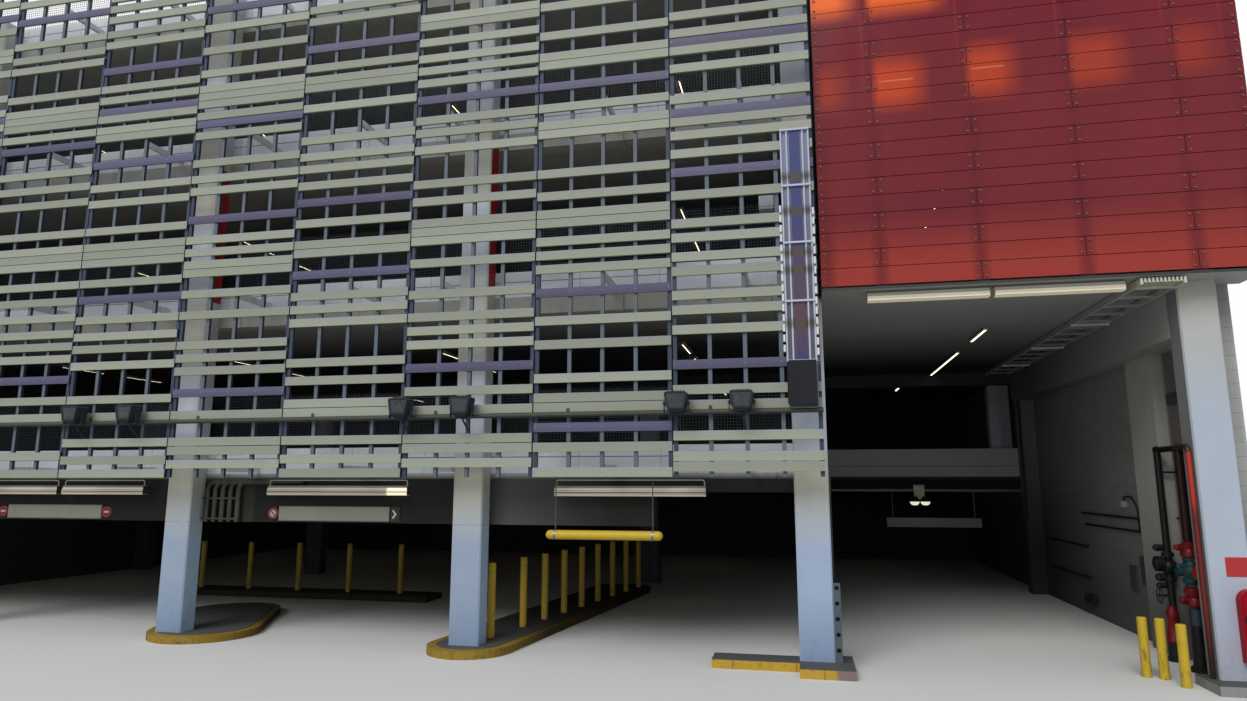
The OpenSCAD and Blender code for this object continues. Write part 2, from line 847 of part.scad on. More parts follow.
module bar_rods() {
    color(steel) for (s = [-1, 1])
        translate([x0 + bar_x + s * rod_x, y0 + bar_y, 0]) difference() {
            union() {
                translate([0, 0, bar_z + bar_r])
                    cylinder(r = rod_r, h = pin_z - bar_z - bar_r, $fn = 16);
                translate([0, 0, pin_z]) rotate([0, 90, 0])
                    cylinder(r = eye_r, h = eye_w, center = true, $fn = 32);
            }
            translate([0, 0, pin_z]) rotate([0, 90, 0])
                cylinder(r = pin_r + pin_gap, h = 2 * eye_w, center = true, $fn = 32);
        }
}

// A light with a wide cover below and a narrower housing above, along X from the origin
module lamp_body(l, w, h) {
    rotate([90, 0, 90]) linear_extrude(l)
        polygon([[w * 0.1, 0], [w * 0.9, 0], [w, h * 0.35], [w * 0.75, h], [w * 0.25, h], [0, h * 0.35]]);
}

// Lights on the face of the portal beam, each on two brackets
module hanging_lights() {
    color("whitesmoke") for (p = hang_lights)
        translate([bay_middle(p[0]) + p[1] - p[2] / 2, deck_front - hang_light_gap - hang_light_w,
                hang_light_z]) {
            lamp_body(p[2], hang_light_w, hang_light_h);
            for (x = [bracket_inset, p[2] - bracket_inset - bracket_w])
                translate([x, hang_light_w / 2, hang_light_h - bracket_h])
                    cube([bracket_w, hang_light_w / 2 + hang_light_gap, bracket_h]);
        }
}

// Two lights behind the lower edge of the glass, strips on the ceiling, and a twin spot
module ceiling_lights() {
    color("whitesmoke") {
        for (i = [0:1])
            translate([bay_edge + bay_light_x + i * (bay_light_l + bay_light_gap),
                    y0 + bay_light_y, ceiling_z - hang_light_h])
                lamp_body(bay_light_l, hang_light_w, hang_light_h);
        for (s = bay_strips)
            translate([bay_edge + bay_strip_x, y0 + s[0] + s[1], ceiling_z - strip_h])
                rotate([0, 0, -90]) lamp_body(s[1], strip_w, strip_h);
        translate([bay_edge + spot_x, mid_y - spot_plate_t,
                first_deck_z - slab_t - edge_beam_drop - spot_drop]) {
            cube([spot_pitch, spot_plate_t, edge_beam_drop + spot_drop]);
            for (x = [0, spot_pitch]) translate([x, 0, 0]) sphere(r = spot_r, $fn = 32);
        }
    }
}

// Strip lights in the middle of each bay, under every deck
module deck_lights() {
    color("whitesmoke") for (level = [0:decks - 1], i = [0:bays + 1], y = strip_y)
        if (i <= bays || level > 1 || y > mid_row_d)
            translate([bay_middle(i) + strip_shift, y0 + y + strip_l,
                    deck_z(level) - slab_t - strip_h])
                rotate([0, 0, -90]) lamp_body(strip_l, strip_w, strip_h);
}

// Panels with a round plate at the left and a round plate or a block with a chevron at the right
module direction_signs() {
    end = sign_l / 2 + disc_gap + disc_r;
    color("gray") for (s = signs)
        translate([bay_middle(s[0]) + s[1], deck_front, sign_z + sign_h / 2])
            rotate([90, 0, 0]) {
                translate([-sign_l / 2, -sign_h / 2, 0]) cube([sign_l, sign_h, sign_t]);
                translate([-end, 0, 0]) cylinder(r = disc_r, h = sign_t, $fn = 48);
                if (s[2] == "disc") {
                    translate([end, 0, 0]) cylinder(r = disc_r, h = sign_t, $fn = 48);
                } else {
                    translate([sign_l / 2 + disc_gap, -sign_h / 2, 0]) {
                        cube([arrow_w, sign_h, sign_t / 2]);
                        translate([arrow_w * 0.35, sign_h / 2, 0]) linear_extrude(sign_t)
                            chevron(sign_h * 0.3);
                    }
                }
            }
}

module chevron(reach) {
    tip = reach * 0.8;
    polygon([[0, reach], [tip, 0], [0, -reach], [-arrow_bar, -reach + arrow_bar],
        [tip - arrow_bar * 1.6, 0], [-arrow_bar, reach - arrow_bar]]);
}

// A plain board hung on two rods at the height that the deck behind leaves
module height_board() {
    y = mid_y + board_t;
    top = first_deck_z - slab_t - edge_beam_drop;
    color("gray") translate([bay_edge + board_x, y, 0]) {
        translate([0, 0, board_z]) cube([board_l, board_t, board_h]);
        for (x = [rod_inset, board_l - rod_inset])
            translate([x, board_t / 2, board_z + board_h])
                cylinder(r = rod_r, h = top - board_z - board_h, $fn = 16);
    }
}

// A straight pipe of radius r
module pipe(from, to, r) {
    run = to - from;
    translate(from) rotate([0, acos(run[2] / norm(run)), atan2(run[1], run[0])])
        cylinder(r = r, h = norm(run), $fn = 24);
}

// Conduits that climb the portal beam beside a column and turn to run along it, the pipes on
// the block wall, the pipe under the deck at the back, and the one up the side of a column
module conduits() {
    left = x0 - 2 * bay_w + column_w / 2 + conduit_left;
    right = left + (conduits_n - 1) * conduit_pitch;
    y = deck_front - conduit_r - elbow_over;
    foot = first_deck_z - slab_t - portal_beam_drop;
    over = conduit_r + clamp_t;
    run_start = left + conduit_bend * (1 - cos(conduit_sweep)) - conduit_r / 2;
    wall_y = deck_right - wall_pipe_r - elbow_over;
    color("darkgray") {
        for (i = [0:conduits_n - 1])
            translate([left + i * conduit_pitch, y, 0]) bent_conduit(foot);
        pipe([run_start, y, conduit_top], [left + conduit_run, y, conduit_top], conduit_r);
        for (z = clamp_z)
            block([left - over, y - over, foot + z], [right + over, deck_front, foot + z + clamp_w]);
        block([left + conduit_run - conduit_pitch, y, conduit_top - clamp_w / 2],
            [left + conduit_run - conduit_pitch + clamp_w, deck_front, conduit_top + clamp_w / 2]);
        for (p = wall_pipes) {
            pipe([wall_y, y0 + p[0], p[2]], [wall_y, y0 + p[1], p[2]], wall_pipe_r);
            for (end = [p[0], p[1]])
                translate([wall_y, y0 + end, p[2]]) sphere(r = wall_pipe_r + elbow_over, $fn = 24);
        }
        under_z = first_deck_z - slab_t - edge_beam_drop - under_pipe_r;
        pipe([bay_edge, mid_y + edge_beam_w / 2, under_z],
            [deck_right, mid_y + edge_beam_w / 2, under_z], under_pipe_r);
        pipe([bay_edge + side_conduit_r, y0 + column_d / 2, kerb_h + guard_h + 2 * hole_r],
            [bay_edge + side_conduit_r, y0 + column_d / 2, first_deck_z], side_conduit_r);
    }
}

// A conduit that climbs from the foot of the beam, with a bend plugged into its top and
// into the run above
module bent_conduit(foot) {
    knee = conduit_top - conduit_bend * sin(conduit_sweep);
    pipe([0, 0, foot], [0, 0, knee + socket_t], conduit_r);
    translate([conduit_bend, 0, knee]) rotate([90, 0, 0]) rotate([0, 0, 180 - conduit_sweep])
        rotate_extrude(angle = conduit_sweep, $fn = 48)
            translate([conduit_bend, 0]) circle(r = conduit_r - socket_t, $fn = 24);
}

// The rail hangs on clips from the face of one row of slats
module floodlight_rail() {
    color(steel) {
        translate([x0 + screen_left, y0 + rail_y, rail_z]) rotate([0, 90, 0])
            cylinder(r = flood_rail_r, h = front_panels * panel_pitch, $fn = 32);
        for (i = [0:front_panels - 1])
            translate([x0 + screen_left + mullion_x(i, 1) - clip_w / 2, 0, rail_z - flood_rail_r / 2]) {
                translate([0, screen_y - clip_t, 0])
                    cube([clip_w, clip_t, flood_rail_r + rail_gap + slat_h / 2]);
                translate([0, y0 + rail_y, 0])
                    cube([clip_w, -rail_y - screen_reach, flood_rail_r]);
            }
    }
}

// A lamp housing with cut corners, in a yoke whose sleeve turns on the rail
module floodlight() {
    c = flood_chamfer;
    front = rail_y - flood_rail_r - sleeve_t - yoke_gap - flood_d;
    low = -flood_rail_r / 2;
    intersection() {
        translate([-flood_w / 2, y0 + front, rail_z + low]) rotate([90, 0, 90])
            linear_extrude(flood_w) polygon([[c, 0], [flood_d - c, 0], [flood_d, c], [flood_d, flood_h],
                [0, flood_h], [0, c]]);
        translate([0, y0 + front + flood_d, rail_z + low]) rotate([90, 0, 0]) linear_extrude(flood_d)
            polygon([[-flood_w / 2 + c, 0], [flood_w / 2 - c, 0], [flood_w / 2, c],
                [flood_w / 2, flood_h - c / 2], [flood_w / 2 - c / 2, flood_h],
                [-flood_w / 2 + c / 2, flood_h], [-flood_w / 2, flood_h - c / 2], [-flood_w / 2, c]]);
    }
}

module flood_yoke() {
    back = y0 + rail_y;
    middle = y0 + rail_y - flood_rail_r - sleeve_t - yoke_gap - flood_d / 2;
    foot = rail_z - flood_rail_r / 2 - yoke_gap - yoke_t;
    side = flood_w / 2 + yoke_gap;
    difference() {
        union() {
            translate([-sleeve_w / 2, back, rail_z]) rotate([0, 90, 0])
                cylinder(r = flood_rail_r + sleeve_t, h = sleeve_w, $fn = 32);
            block([-sleeve_w / 2, middle - sleeve_w / 2, foot], [sleeve_w / 2, back, foot + yoke_t]);
            block([-side - yoke_t, middle - sleeve_w / 2, foot],
                [side + yoke_t, middle + sleeve_w / 2, foot + yoke_t]);
            for (s = [-1, 1]) {
                block([s * (side + yoke_t / 2) - yoke_t / 2, middle - sleeve_w / 2, foot],
                    [s * (side + yoke_t / 2) + yoke_t / 2, middle + sleeve_w / 2,
                        rail_z + flood_h / 2]);
                translate([s * (side - yoke_gap), middle, rail_z + flood_h / 2 - sleeve_w / 2])
                    rotate([0, s * 90, 0]) cylinder(r = 2 * yoke_t, h = yoke_gap + 2 * yoke_t, $fn = 24);
            }
        }
        translate([-sleeve_w, back, rail_z]) rotate([0, 90, 0])
            cylinder(r = flood_rail_r + pin_gap, h = 2 * sleeve_w, $fn = 32);
    }
}

module floodlights() {
    color("dimgray") for (p = floods)
        translate([front_x[p[0] + 1] + p[1], 0, 0]) {
            floodlight();
            flood_yoke();
        }
}

// Two pairs of tubes joined by rungs, with a dark strip in short lengths between the rungs
module sign_frame() {
    left = x0 + blade_x - blade_w / 2;
    pitch = (blade_h - 2 * blade_tube_r) / (blade_rungs - 1);
    inner = blade_w / 2 - blade_strip_w / 2 - 3 * blade_tube_r;
    color("white") {
        for (x = [blade_tube_r, inner, blade_w - inner, blade_w - blade_tube_r])
            translate([left + x, screen_y - blade_d / 2, blade_z])
                cylinder(r = blade_tube_r, h = blade_h, $fn = 24);
        for (k = [0:blade_rungs - 1])
            translate([left, screen_y - blade_d, blade_z + k * pitch])
                cube([blade_w, blade_d, 2 * blade_tube_r]);
        translate([left + blade_w / 2 - blade_strip_w / 2, screen_y - blade_d / 2, blade_z])
            cube([blade_strip_w, strip_t, blade_h]);
    }
}

module sign_box() {
    low = rail_z + flood_rail_r + box_gap;
    inset = strip_t;
    left = x0 + blade_x - blade_w / 2;
    color("dimgray") {
        block([left + inset, screen_y - box_d, low], [left + blade_w - inset, screen_y, blade_z]);
        block([left, screen_y - box_d / 2, low + inset],
            [left + blade_w, screen_y - box_d / 2 + inset, blade_z - inset]);
    }
}

// A ladder tray on struts, each hung on two rods, with a comb of plates over its front end
module cable_tray() {
    right = deck_right - column_w - tray_gap;
    left = right - tray_w;
    front = y0 - glass_reach + glass_t + tray_front;
    back = mid_y - column_d - tray_gap;
    z = ceiling_z - tray_drop;
    color("silver") {
        for (x = [left, right - tray_side])
            block([x, front, z], [x + tray_side, back, z + tray_h]);
        for (y = [front + rung_pitch / 2:rung_pitch:back - rung_w])
            block([left, y, z], [right, y + rung_w, z + tray_h / 3]);
        for (y = [y0 + strut_y:strut_pitch:back - rung_w]) {
            block([left - strut_over, y, z - strut_h], [right, y + rung_w, z]);
            for (x = [left - strut_over / 2, right - tray_side / 2])
                translate([x, y + rung_w / 2, z - strut_h])
                    cylinder(r = hanger_r, h = tray_drop + strut_h, $fn = 16);
        }
        for (i = [0:comb_n - 1])
            block([left + i * (tray_w - comb_t) / (comb_n - 1), front, z + tray_h / 3],
                [left + i * (tray_w - comb_t) / (comb_n - 1) + comb_t, front + comb_l, z + tray_h]);
        block([left, front + tray_side, z + tray_h / 3], [right, front + 2 * tray_side, z + tray_h / 2]);
    }
}

// Pipes that stand off the block wall under one header, with flanged valves and a hand wheel
module riser_flange(y, z, r) {
    translate([deck_right - riser_x, y0 + y, z]) cylinder(r = r + flange_over, h = flange_t, $fn = 32);
}

module fire_riser() {
    x = deck_right - riser_x;
    color("firebrick") {
        for (p = risers) {
            y = y0 + p[0];
            pipe([x, y, 0], [x, y, header_z], p[1]);
            translate([x, y, header_z]) sphere(r = p[1] + elbow_over, $fn = 24);
            riser_flange(p[0], 0, p[1]);
            for (z = [valve_z - valve_h / 2 - flange_t, valve_z - valve_h / 2,
                    valve_z + valve_h / 2 - flange_t, valve_z + valve_h / 2])
                riser_flange(p[0], z, p[1]);
            translate([x, y, valve_z]) sphere(r = p[1] + 2 * flange_over, $fn = 32);
            block([x, y - clamp_w / 2, header_z - valve_h], [deck_right, y + clamp_w / 2,
                header_z - valve_h + clamp_w]);
        }
        pipe([x, y0 + risers[2][0], header_z], [x, y0 + risers[0][0], header_z], risers[2][1]);
        pipe([x, y0 + risers[1][0], valve_z], [x - wheel_reach, y0 + risers[1][0], valve_z],
            risers[1][1]);
        riser_wheel(risers[0][0]);
    }
}

// The stem points away from the wall and carries the rim on four spokes
module riser_wheel(y) {
    translate([deck_right - riser_x, y0 + y, wheel_z]) rotate([0, -90, 0]) {
        cylinder(r = hanger_r * 2, h = wheel_reach, $fn = 24);
        translate([0, 0, wheel_reach - flange_t]) {
            rotate_extrude($fn = 48) translate([wheel_r, 0]) circle(r = hanger_r, $fn = 16);
            for (a = [0, 90])
                rotate([90, 0, a]) cylinder(r = hanger_r * 0.8, h = 2 * wheel_r, center = true, $fn = 16);
        }
    }
}

// A red cabinet with a round top and a raised door, on the face of the column
module cabinet_outline(inset) {
    r = cabinet_w / 2 - inset;
    translate([cabinet_w / 2, cabinet_h - cabinet_w / 2]) circle(r = r, $fn = 64);
    translate([inset, inset]) square([2 * r, cabinet_h - cabinet_w / 2 - inset]);
}

module hose_cabinet() {
    color("crimson") translate([x0 + tall_bay_w + cabinet_x, y0, cabinet_z]) rotate([90, 0, 0]) {
        linear_extrude(cabinet_d) cabinet_outline(0);
        linear_extrude(cabinet_d + cabinet_lip) cabinet_outline(2 * cabinet_lip);
    }
}

// A square tube with a row of holes through its face, beside the column of the tall bay
module guard_post() {
    foot = kerb_h + fill_rise;
    color("silver") translate([bay_edge, y0, foot]) difference() {
        cube([guard_w, guard_d, guard_h]);
        translate([guard_wall, guard_wall, -1])
            cube([guard_w - 2 * guard_wall, guard_d - 2 * guard_wall, guard_h + 2]);
        for (i = [0:post_holes - 1])
            translate([guard_w / 2, guard_d + 1, first_hole_z + i * hole_pitch])
                rotate([90, 0, 0]) cylinder(r = hole_r, h = guard_d + 2, $fn = 32);
    }
}

front_columns();
middle_columns();
rear_columns();
deck_2();
deck_3();
deck_4();
roof_deck();
front_beams();
rear_beams();
side_beams();
middle_beams();
front_parapets();
rear_parapets();
side_parapets();
rear_walls();
end_walls();
side_wall();
wall_beam();
tall_bay_ceiling();
front_screen_1();
front_screen_2();
front_screen_3();
front_screen_4();
front_screen_5();
side_screen_1();
side_screen_2();
side_screen_3();
rear_screen_1();
rear_screen_2();
rear_screen_3();
rear_screen_4();
screen_arms();
glass_panes();
glass_posts();
kerb_islands();
bollards();
clearance_bar();
bar_rods();
bar_hanger();
hanging_lights();
ceiling_lights();
deck_lights();
direction_signs();
height_board();
conduits();
floodlight_rail();
floodlights();
sign_frame();
sign_box();
cable_tray();
fire_riser();
hose_cabinet();
guard_post();
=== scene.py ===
import bpy
import math
from mathutils import Matrix, Vector


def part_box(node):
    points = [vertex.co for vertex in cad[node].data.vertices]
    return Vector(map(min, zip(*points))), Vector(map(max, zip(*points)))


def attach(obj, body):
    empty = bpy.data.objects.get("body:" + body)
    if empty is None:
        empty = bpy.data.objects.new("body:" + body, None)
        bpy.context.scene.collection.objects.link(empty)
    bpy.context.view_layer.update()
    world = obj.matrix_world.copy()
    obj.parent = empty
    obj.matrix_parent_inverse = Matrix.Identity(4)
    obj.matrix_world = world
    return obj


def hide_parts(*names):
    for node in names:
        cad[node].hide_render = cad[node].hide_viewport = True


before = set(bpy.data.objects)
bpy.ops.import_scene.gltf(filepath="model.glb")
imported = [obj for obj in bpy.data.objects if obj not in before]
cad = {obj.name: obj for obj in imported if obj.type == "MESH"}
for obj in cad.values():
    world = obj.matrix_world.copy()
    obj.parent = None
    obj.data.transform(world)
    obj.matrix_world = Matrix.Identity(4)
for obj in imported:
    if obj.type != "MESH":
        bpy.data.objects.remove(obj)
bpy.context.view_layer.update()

# The street side is seen from the far kerb, a little above a walker's head, looking up
# and slightly to the left along the front. A plain pale floor and soft studio light
# stand in for the street and the sky.
bpy.ops.object.select_all(action="DESELECT")
bpy.ops.object.camera_add(location=(7.5675, -21.411, 2.6453),
                          rotation=(math.radians(99.33), 0, math.radians(12.349)))
camera = bpy.context.object
camera.name = "street_camera"
camera.data.sensor_width = 36
camera.data.lens = 23.228
camera.data.clip_end = 500
bpy.context.scene.camera = camera


def node_of(tree, kind, given=(), **settings):
    """A node with its settings. given holds a number, colour or output for each input."""
    made = tree.nodes.new("ShaderNode" + kind)
    for key, value in settings.items():
        setattr(made, key, value)
    for key, value in dict(given).items():
        supply(made.inputs[key], value)
    return made


def supply(inlet, value):
    """Links an inlet to an output or a reading's socket, or sets its number or colour."""
    value = getattr(value, "socket", value)
    if isinstance(value, bpy.types.NodeSocket):
        inlet.id_data.links.new(value, inlet)
    elif inlet.type == "RGBA":
        inlet.default_value = (*value, 1)
    else:
        inlet.default_value = value


bpy.ops.mesh.primitive_plane_add(size=600)
studio_floor = bpy.context.object
studio_floor.name = "studio_floor"
floor_finish = bpy.data.materials.new("studio_floor")
floor_finish.use_nodes = True
tree = floor_finish.node_tree
tree.nodes.clear()
seen = node_of(tree, "LightPath").outputs
pale = node_of(tree, "BsdfDiffuse", {"Color": (0.74, 0.74, 0.73)})
dull = node_of(tree, "BsdfDiffuse", {"Color": (0.50, 0.50, 0.50)})
either = node_of(tree, "MixShader", {"Fac": seen["Is Camera Ray"], 1: dull.outputs[0], 2: pale.outputs[0]})
node_of(tree, "OutputMaterial", {"Surface": either.outputs[0]})
studio_floor.data.materials.append(floor_finish)

world = bpy.data.worlds.new("studio")
bpy.context.scene.world = world
world.use_nodes = True
tree = world.node_tree
tree.nodes.clear()
seen = node_of(tree, "LightPath").outputs
backdrop = node_of(tree, "Background", {"Color": (1, 1, 1)})
soft_light = node_of(tree, "Background", {"Color": (0.88, 0.94, 1.0), "Strength": 0.55})
rays = node_of(tree, "Math", {0: seen["Is Camera Ray"], 1: seen["Is Glossy Ray"]}, operation="MAXIMUM")
rays = node_of(tree, "Math", {0: rays.outputs[0], 1: seen["Is Transmission Ray"]}, operation="MAXIMUM")
either = node_of(tree, "MixShader", {"Fac": rays.outputs[0], 1: soft_light.outputs[0],
                                     2: backdrop.outputs[0]})
node_of(tree, "OutputWorld", {"Surface": either.outputs[0]})

bpy.ops.object.light_add(type="SUN", location=(0, -30, 30),
                         rotation=(math.radians(50), 0, math.radians(-16)))
key_light = bpy.context.object
key_light.name = "key_light"
key_light.data.energy = 1.75
key_light.data.angle = math.radians(35)
key_light.data.color = (1.0, 0.98, 0.95)
bpy.context.scene.view_settings.view_transform = "Standard"


# Cast concrete frame: columns, decks and beams, poured in boarded shutters. The street
# columns are painted a cool white, with a cream band under the deck, a pour joint at
# head height and scuffs near the kerb. One column face behind the louvres is dark red.
class Reading:
    """A number that changes over the surface, with the sums that the paints need."""

    def __init__(self, socket):
        self.socket = socket
        self.tree = socket.id_data

    def __add__(self, other):
        return worked("ADD", self, other)

    def __sub__(self, other):
        return worked("SUBTRACT", self, other)

    def __rsub__(self, other):
        return worked("SUBTRACT", other, self)

    def __mul__(self, other):
        return worked("MULTIPLY", self, other)

    def __truediv__(self, other):
        return worked("DIVIDE", self, other)

    def __or__(self, other):
        return worked("MAXIMUM", self, other)

    def __abs__(self):
        return worked("ABSOLUTE", self)

    def rise(self, low, high, start=0.0, end=1.0):
        """The range from low to high, spread from start to end and held at both."""
        made = node_of(self.tree, "MapRange", {"Value": self, "From Min": low, "From Max": high,
                                               "To Min": start, "To Max": end})
        return Reading(made.outputs["Result"])

    def fall(self, low, high):
        """1 below the range, 0 above it."""
        return self.rise(low, high, 1, 0)

    def band(self, low, high, soft=0.004):
        """1 between two numbers, 0 outside."""
        return self.rise(low - soft, low + soft) * self.fall(high - soft, high + soft)

    def lines(self, pitch, width, start=0.0):
        """1 on thin lines that repeat at a pitch."""
        return worked("PINGPONG", self - start, pitch / 2).fall(width * 0.35, width * 0.65)

    def mix(self, one, other):
        """One colour turned into another by this share."""
        return node_of(self.tree, "Mix", {"Factor": self, 6: one, 7: other}, data_type="RGBA").outputs[2]


def worked(operation, *values):
    """A Math node on readings and numbers."""
    tree = next(value.tree for value in values if isinstance(value, Reading))
    return Reading(node_of(tree, "Math", enumerate(values), operation=operation).outputs["Value"])


def any_of(masks):
    """The highest of several readings."""
    result, *rest = masks
    for mask in rest:
        result = result | mask
    return result


def coated(body, *coats):
    """A colour under coats of others, each laid on by its share from 0 to 1."""
    for share, colour in coats:
        body = share.mix(body, colour)
    return body


def toned(colour, shade):
    """A colour made lighter or darker by a reading."""
    grey = node_of(shade.tree, "CombineColor", {channel: shade for channel in ("Red", "Green", "Blue")})
    made = node_of(shade.tree, "Mix", {"Factor": 1.0, 6: colour, 7: grey.outputs["Color"]},
                   data_type="RGBA", blend_type="MULTIPLY")
    return made.outputs[2]


def split_of(vector):
    """The x, y and z of a vector."""
    parts = node_of(vector.id_data, "SeparateXYZ", {"Vector": vector})
    return [Reading(part) for part in parts.outputs]


def place_of(tree):
    """The x, y and z of a point of the building, in metres."""
    return split_of(node_of(tree, "TexCoord").outputs["Object"])


def facing_of(tree):
    """The x, y and z of the surface's own direction."""
    return split_of(node_of(tree, "NewGeometry").outputs["Normal"])


def noise_of(tree, size, detail, rough=0.6, stretch=(1, 1, 1)):
    """Noise on the building's own coordinates, in metres, drawn out along an axis."""
    where = node_of(tree, "TexCoord").outputs["Object"]
    drawn = node_of(tree, "Mapping", {"Vector": where, "Scale": stretch})
    grain = node_of(tree, "TexNoise", {"Vector": drawn.outputs["Vector"], "Scale": size, "Detail": detail,
                                       "Roughness": rough})
    return Reading(grain.outputs["Fac"])


def weather_group():
    """Rain streaks, mottling and fine grain, as one group for every outdoor surface."""
    group = bpy.data.node_groups.new("rain_and_dust", "ShaderNodeTree")
    for way, sockets in (("INPUT", {"Clean": "Color", "Dirt": "Color", "Streaks": "Float", "Mottle": "Float",
                                    "Grain": "Float"}),
                         ("OUTPUT", {"Color": "Color", "Worn": "Float", "Height": "Float"})):
        for label, kind in sockets.items():
            group.interface.new_socket(name=label, in_out=way, socket_type="NodeSocket" + kind)
    given = group.nodes.new("NodeGroupInput").outputs
    result = group.nodes.new("NodeGroupOutput").inputs
    runs = noise_of(group, 2.6, 6, 0.65, (2.2, 2.2, 0.16)).rise(0.48, 0.74)
    patches = noise_of(group, 0.9, 5).rise(0.35, 0.75)
    streaks = runs * patches * Reading(given["Streaks"])
    fine = noise_of(group, 26.0, 5, 0.7)
    coarse = noise_of(group, 1.7, 6, 0.62)
    shade = worked("MULTIPLY_ADD", coarse - 0.5, Reading(given["Mottle"]), 1.0)
    speck = worked("MULTIPLY_ADD", fine - 0.5, Reading(given["Grain"]), shade)
    supply(result["Color"], streaks.mix(toned(given["Clean"], speck), given["Dirt"]))
    supply(result["Worn"], streaks)
    supply(result["Height"], fine * 0.4 + coarse * 0.6)
    return group


rain_and_dust = weather_group()


def finish_of(name, colour, roughness, metallic=0.0, shine=0.22):
    """A named finish with its shader's inputs, ready for more nodes."""
    finish = bpy.data.materials.new(name)
    finish.use_nodes = True
    shader = finish.node_tree.nodes["Principled BSDF"].inputs
    supply(shader["Base Color"], colour)
    supply(shader["Roughness"], roughness)
    supply(shader["Metallic"], metallic)
    supply(shader["Specular IOR Level"], shine)
    return finish, finish.node_tree, shader


def weathered(name, colour, dirt, roughness, streaks=0.5, mottle=0.3, grain=0.1, bump=0.1,
              metallic=0.0, paint=None, shine=0.22):
    """A finish with rain and dust on it. paint may give the clean colour from a point's place."""
    finish, tree, shader = finish_of(name, colour, roughness, metallic, shine)
    clean = paint(tree, *place_of(tree)) if paint else colour
    group = tree.nodes.new("ShaderNodeGroup")
    group.node_tree = rain_and_dust
    for key, value in (("Clean", clean), ("Dirt", dirt), ("Streaks", streaks), ("Mottle", mottle),
                       ("Grain", grain)):
        supply(group.inputs[key], value)
    supply(shader["Base Color"], group.outputs["Color"])
    supply(shader["Roughness"], worked("MULTIPLY_ADD", Reading(group.outputs["Worn"]), 0.25, roughness))
    relief = node_of(tree, "Bump", {"Strength": bump, "Distance": 0.02, "Height": group.outputs["Height"]})
    supply(shader["Normal"], relief.outputs["Normal"])
    return finish


def dress(finish, *names):
    """Gives CAD nodes their finish."""
    for name in names:
        slots = cad[name].data.materials
        slots.clear()
        slots.append(finish)


roof_parapet = 0.44
first_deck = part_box("front_parapets")[0].z
storey = (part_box("front_parapets")[1].z - roof_parapet - first_deck) / 3
front_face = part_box("front_columns")[0].y
deck_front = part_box("front_parapets")[0].y
white_paint = (0.33, 0.40, 0.52)
cream_paint = (0.60, 0.58, 0.46)


def column_paint_colours(tree, x, y, z):
    across = facing_of(tree)[0]
    # Painted light: below the first deck the columns' side faces are painted lighter and bluer than their
    # fronts, as light falls on them.
    side = abs(across).rise(0.6, 0.9) * z.fall(2.6, 2.8)
    painted_side_light = z.rise(1.5, 2.5).mix((0.45, 0.60, 0.78), (0.52, 0.52, 0.45))
    upper = z.lines(storey, 1.6, 2.3).mix((0.70, 0.75, 0.85), (0.60, 0.59, 0.53))
    # The last column: cream under the deck and darker, bluer towards the foot; its faces looking left are
    # painted dark as shade.
    tall = coated((0.46, 0.51, 0.60),
                  (z.rise(3.6, 5.2), (0.52, 0.50, 0.44)),
                  (z.rise(0.3, 1.6, 0.55, 0), (0.33, 0.33, 0.42)),
                  (across.fall(-0.9, -0.6), (0.22, 0.235, 0.225)))
    joint = z.band(1.972, 1.986) * x.fall(5.0, 5.1) * noise_of(tree, 7, 3).rise(0.35, 0.5)
    scuffs = z.rise(0.1, 0.7, 0.6, 0) * noise_of(tree, 9, 6, 0.7, (1, 1, 0.5)).rise(0.50, 0.66)
    lane_side = across.rise(0.85, 0.95) * x.band(-9.0, 3.0)
    # Painted shade: inside the building the columns are painted near black, less so above the first deck.
    inside = y.rise(-8.5, 0.2) * y.fall(9.00, 9.07) * z.rise(2.7, 2.8, 0.94, 0.45)
    # Painted shade: a near black strip on the column where it shows beside the red glass.
    shade_beside_glass = x.band(7.875, 8.30) * z.rise(5.3, 5.45) * y.fall(-8.7, -8.6)
    return coated(white_paint,
                  (x.rise(7.3, 7.4), (0.37, 0.46, 0.63)),
                  (z.rise(0.15, 1.1, 0.85, 0), (0.21, 0.30, 0.46)),
                  (z.rise(1.65, 2.65), cream_paint),
                  (side, painted_side_light),
                  (z.rise(2.72, 2.78), upper),
                  (x.rise(12.5, 12.6), tall),
                  (joint * 0.55, (0.20, 0.22, 0.26)),
                  (scuffs, (0.22, 0.23, 0.25)),
                  (lane_side * z.band(5.9, 8.44), (0.40, 0.020, 0.018)),
                  (inside, (0.03, 0.03, 0.035)),
                  (shade_beside_glass, (0.012, 0.010, 0.014)))


dress(weathered("column_paint", white_paint, (0.30, 0.30, 0.28), 0.62, 0.30, 0.14, 0.06, 0.10,
                paint=column_paint_colours), "front_columns", "rear_columns", "middle_columns")


def shutter_colours(tree, x, y, z):
    up = facing_of(tree)[2]
    # Painted shade: soffits and deck edges grow near black from the street edge inwards. Below the first deck
    # the beams are painted near black, with a painted patch of daylight, and darker still further in.
    depth = y.rise(-8.8, -4.5)
    upper = depth.mix((0.47, 0.455, 0.415), (0.055, 0.055, 0.060))
    daylit = x.rise(2.2, 2.9) * x.rise(2.9, 4.6, 1, 0.08)
    beam = coated((0.019, 0.019, 0.018), (daylit, (0.095, 0.095, 0.092)),
                  (x.band(-2.95, -1.85, 0.03), (0.040, 0.038, 0.029)))
    seams = x.lines(2.4, 0.02) | y.lines(1.2, 0.02)
    return coated(upper, (z.fall(2.7, 2.78), depth.mix(beam, (0.014, 0.014, 0.014))),
                  (y.rise(8.9, 9.0) | x.rise(-12.95, -13.0), (0.40, 0.39, 0.35)),
                  (seams * 0.5, (0.03, 0.03, 0.028)),
                  (up.rise(0.6, 0.9), (0.52, 0.52, 0.50)))


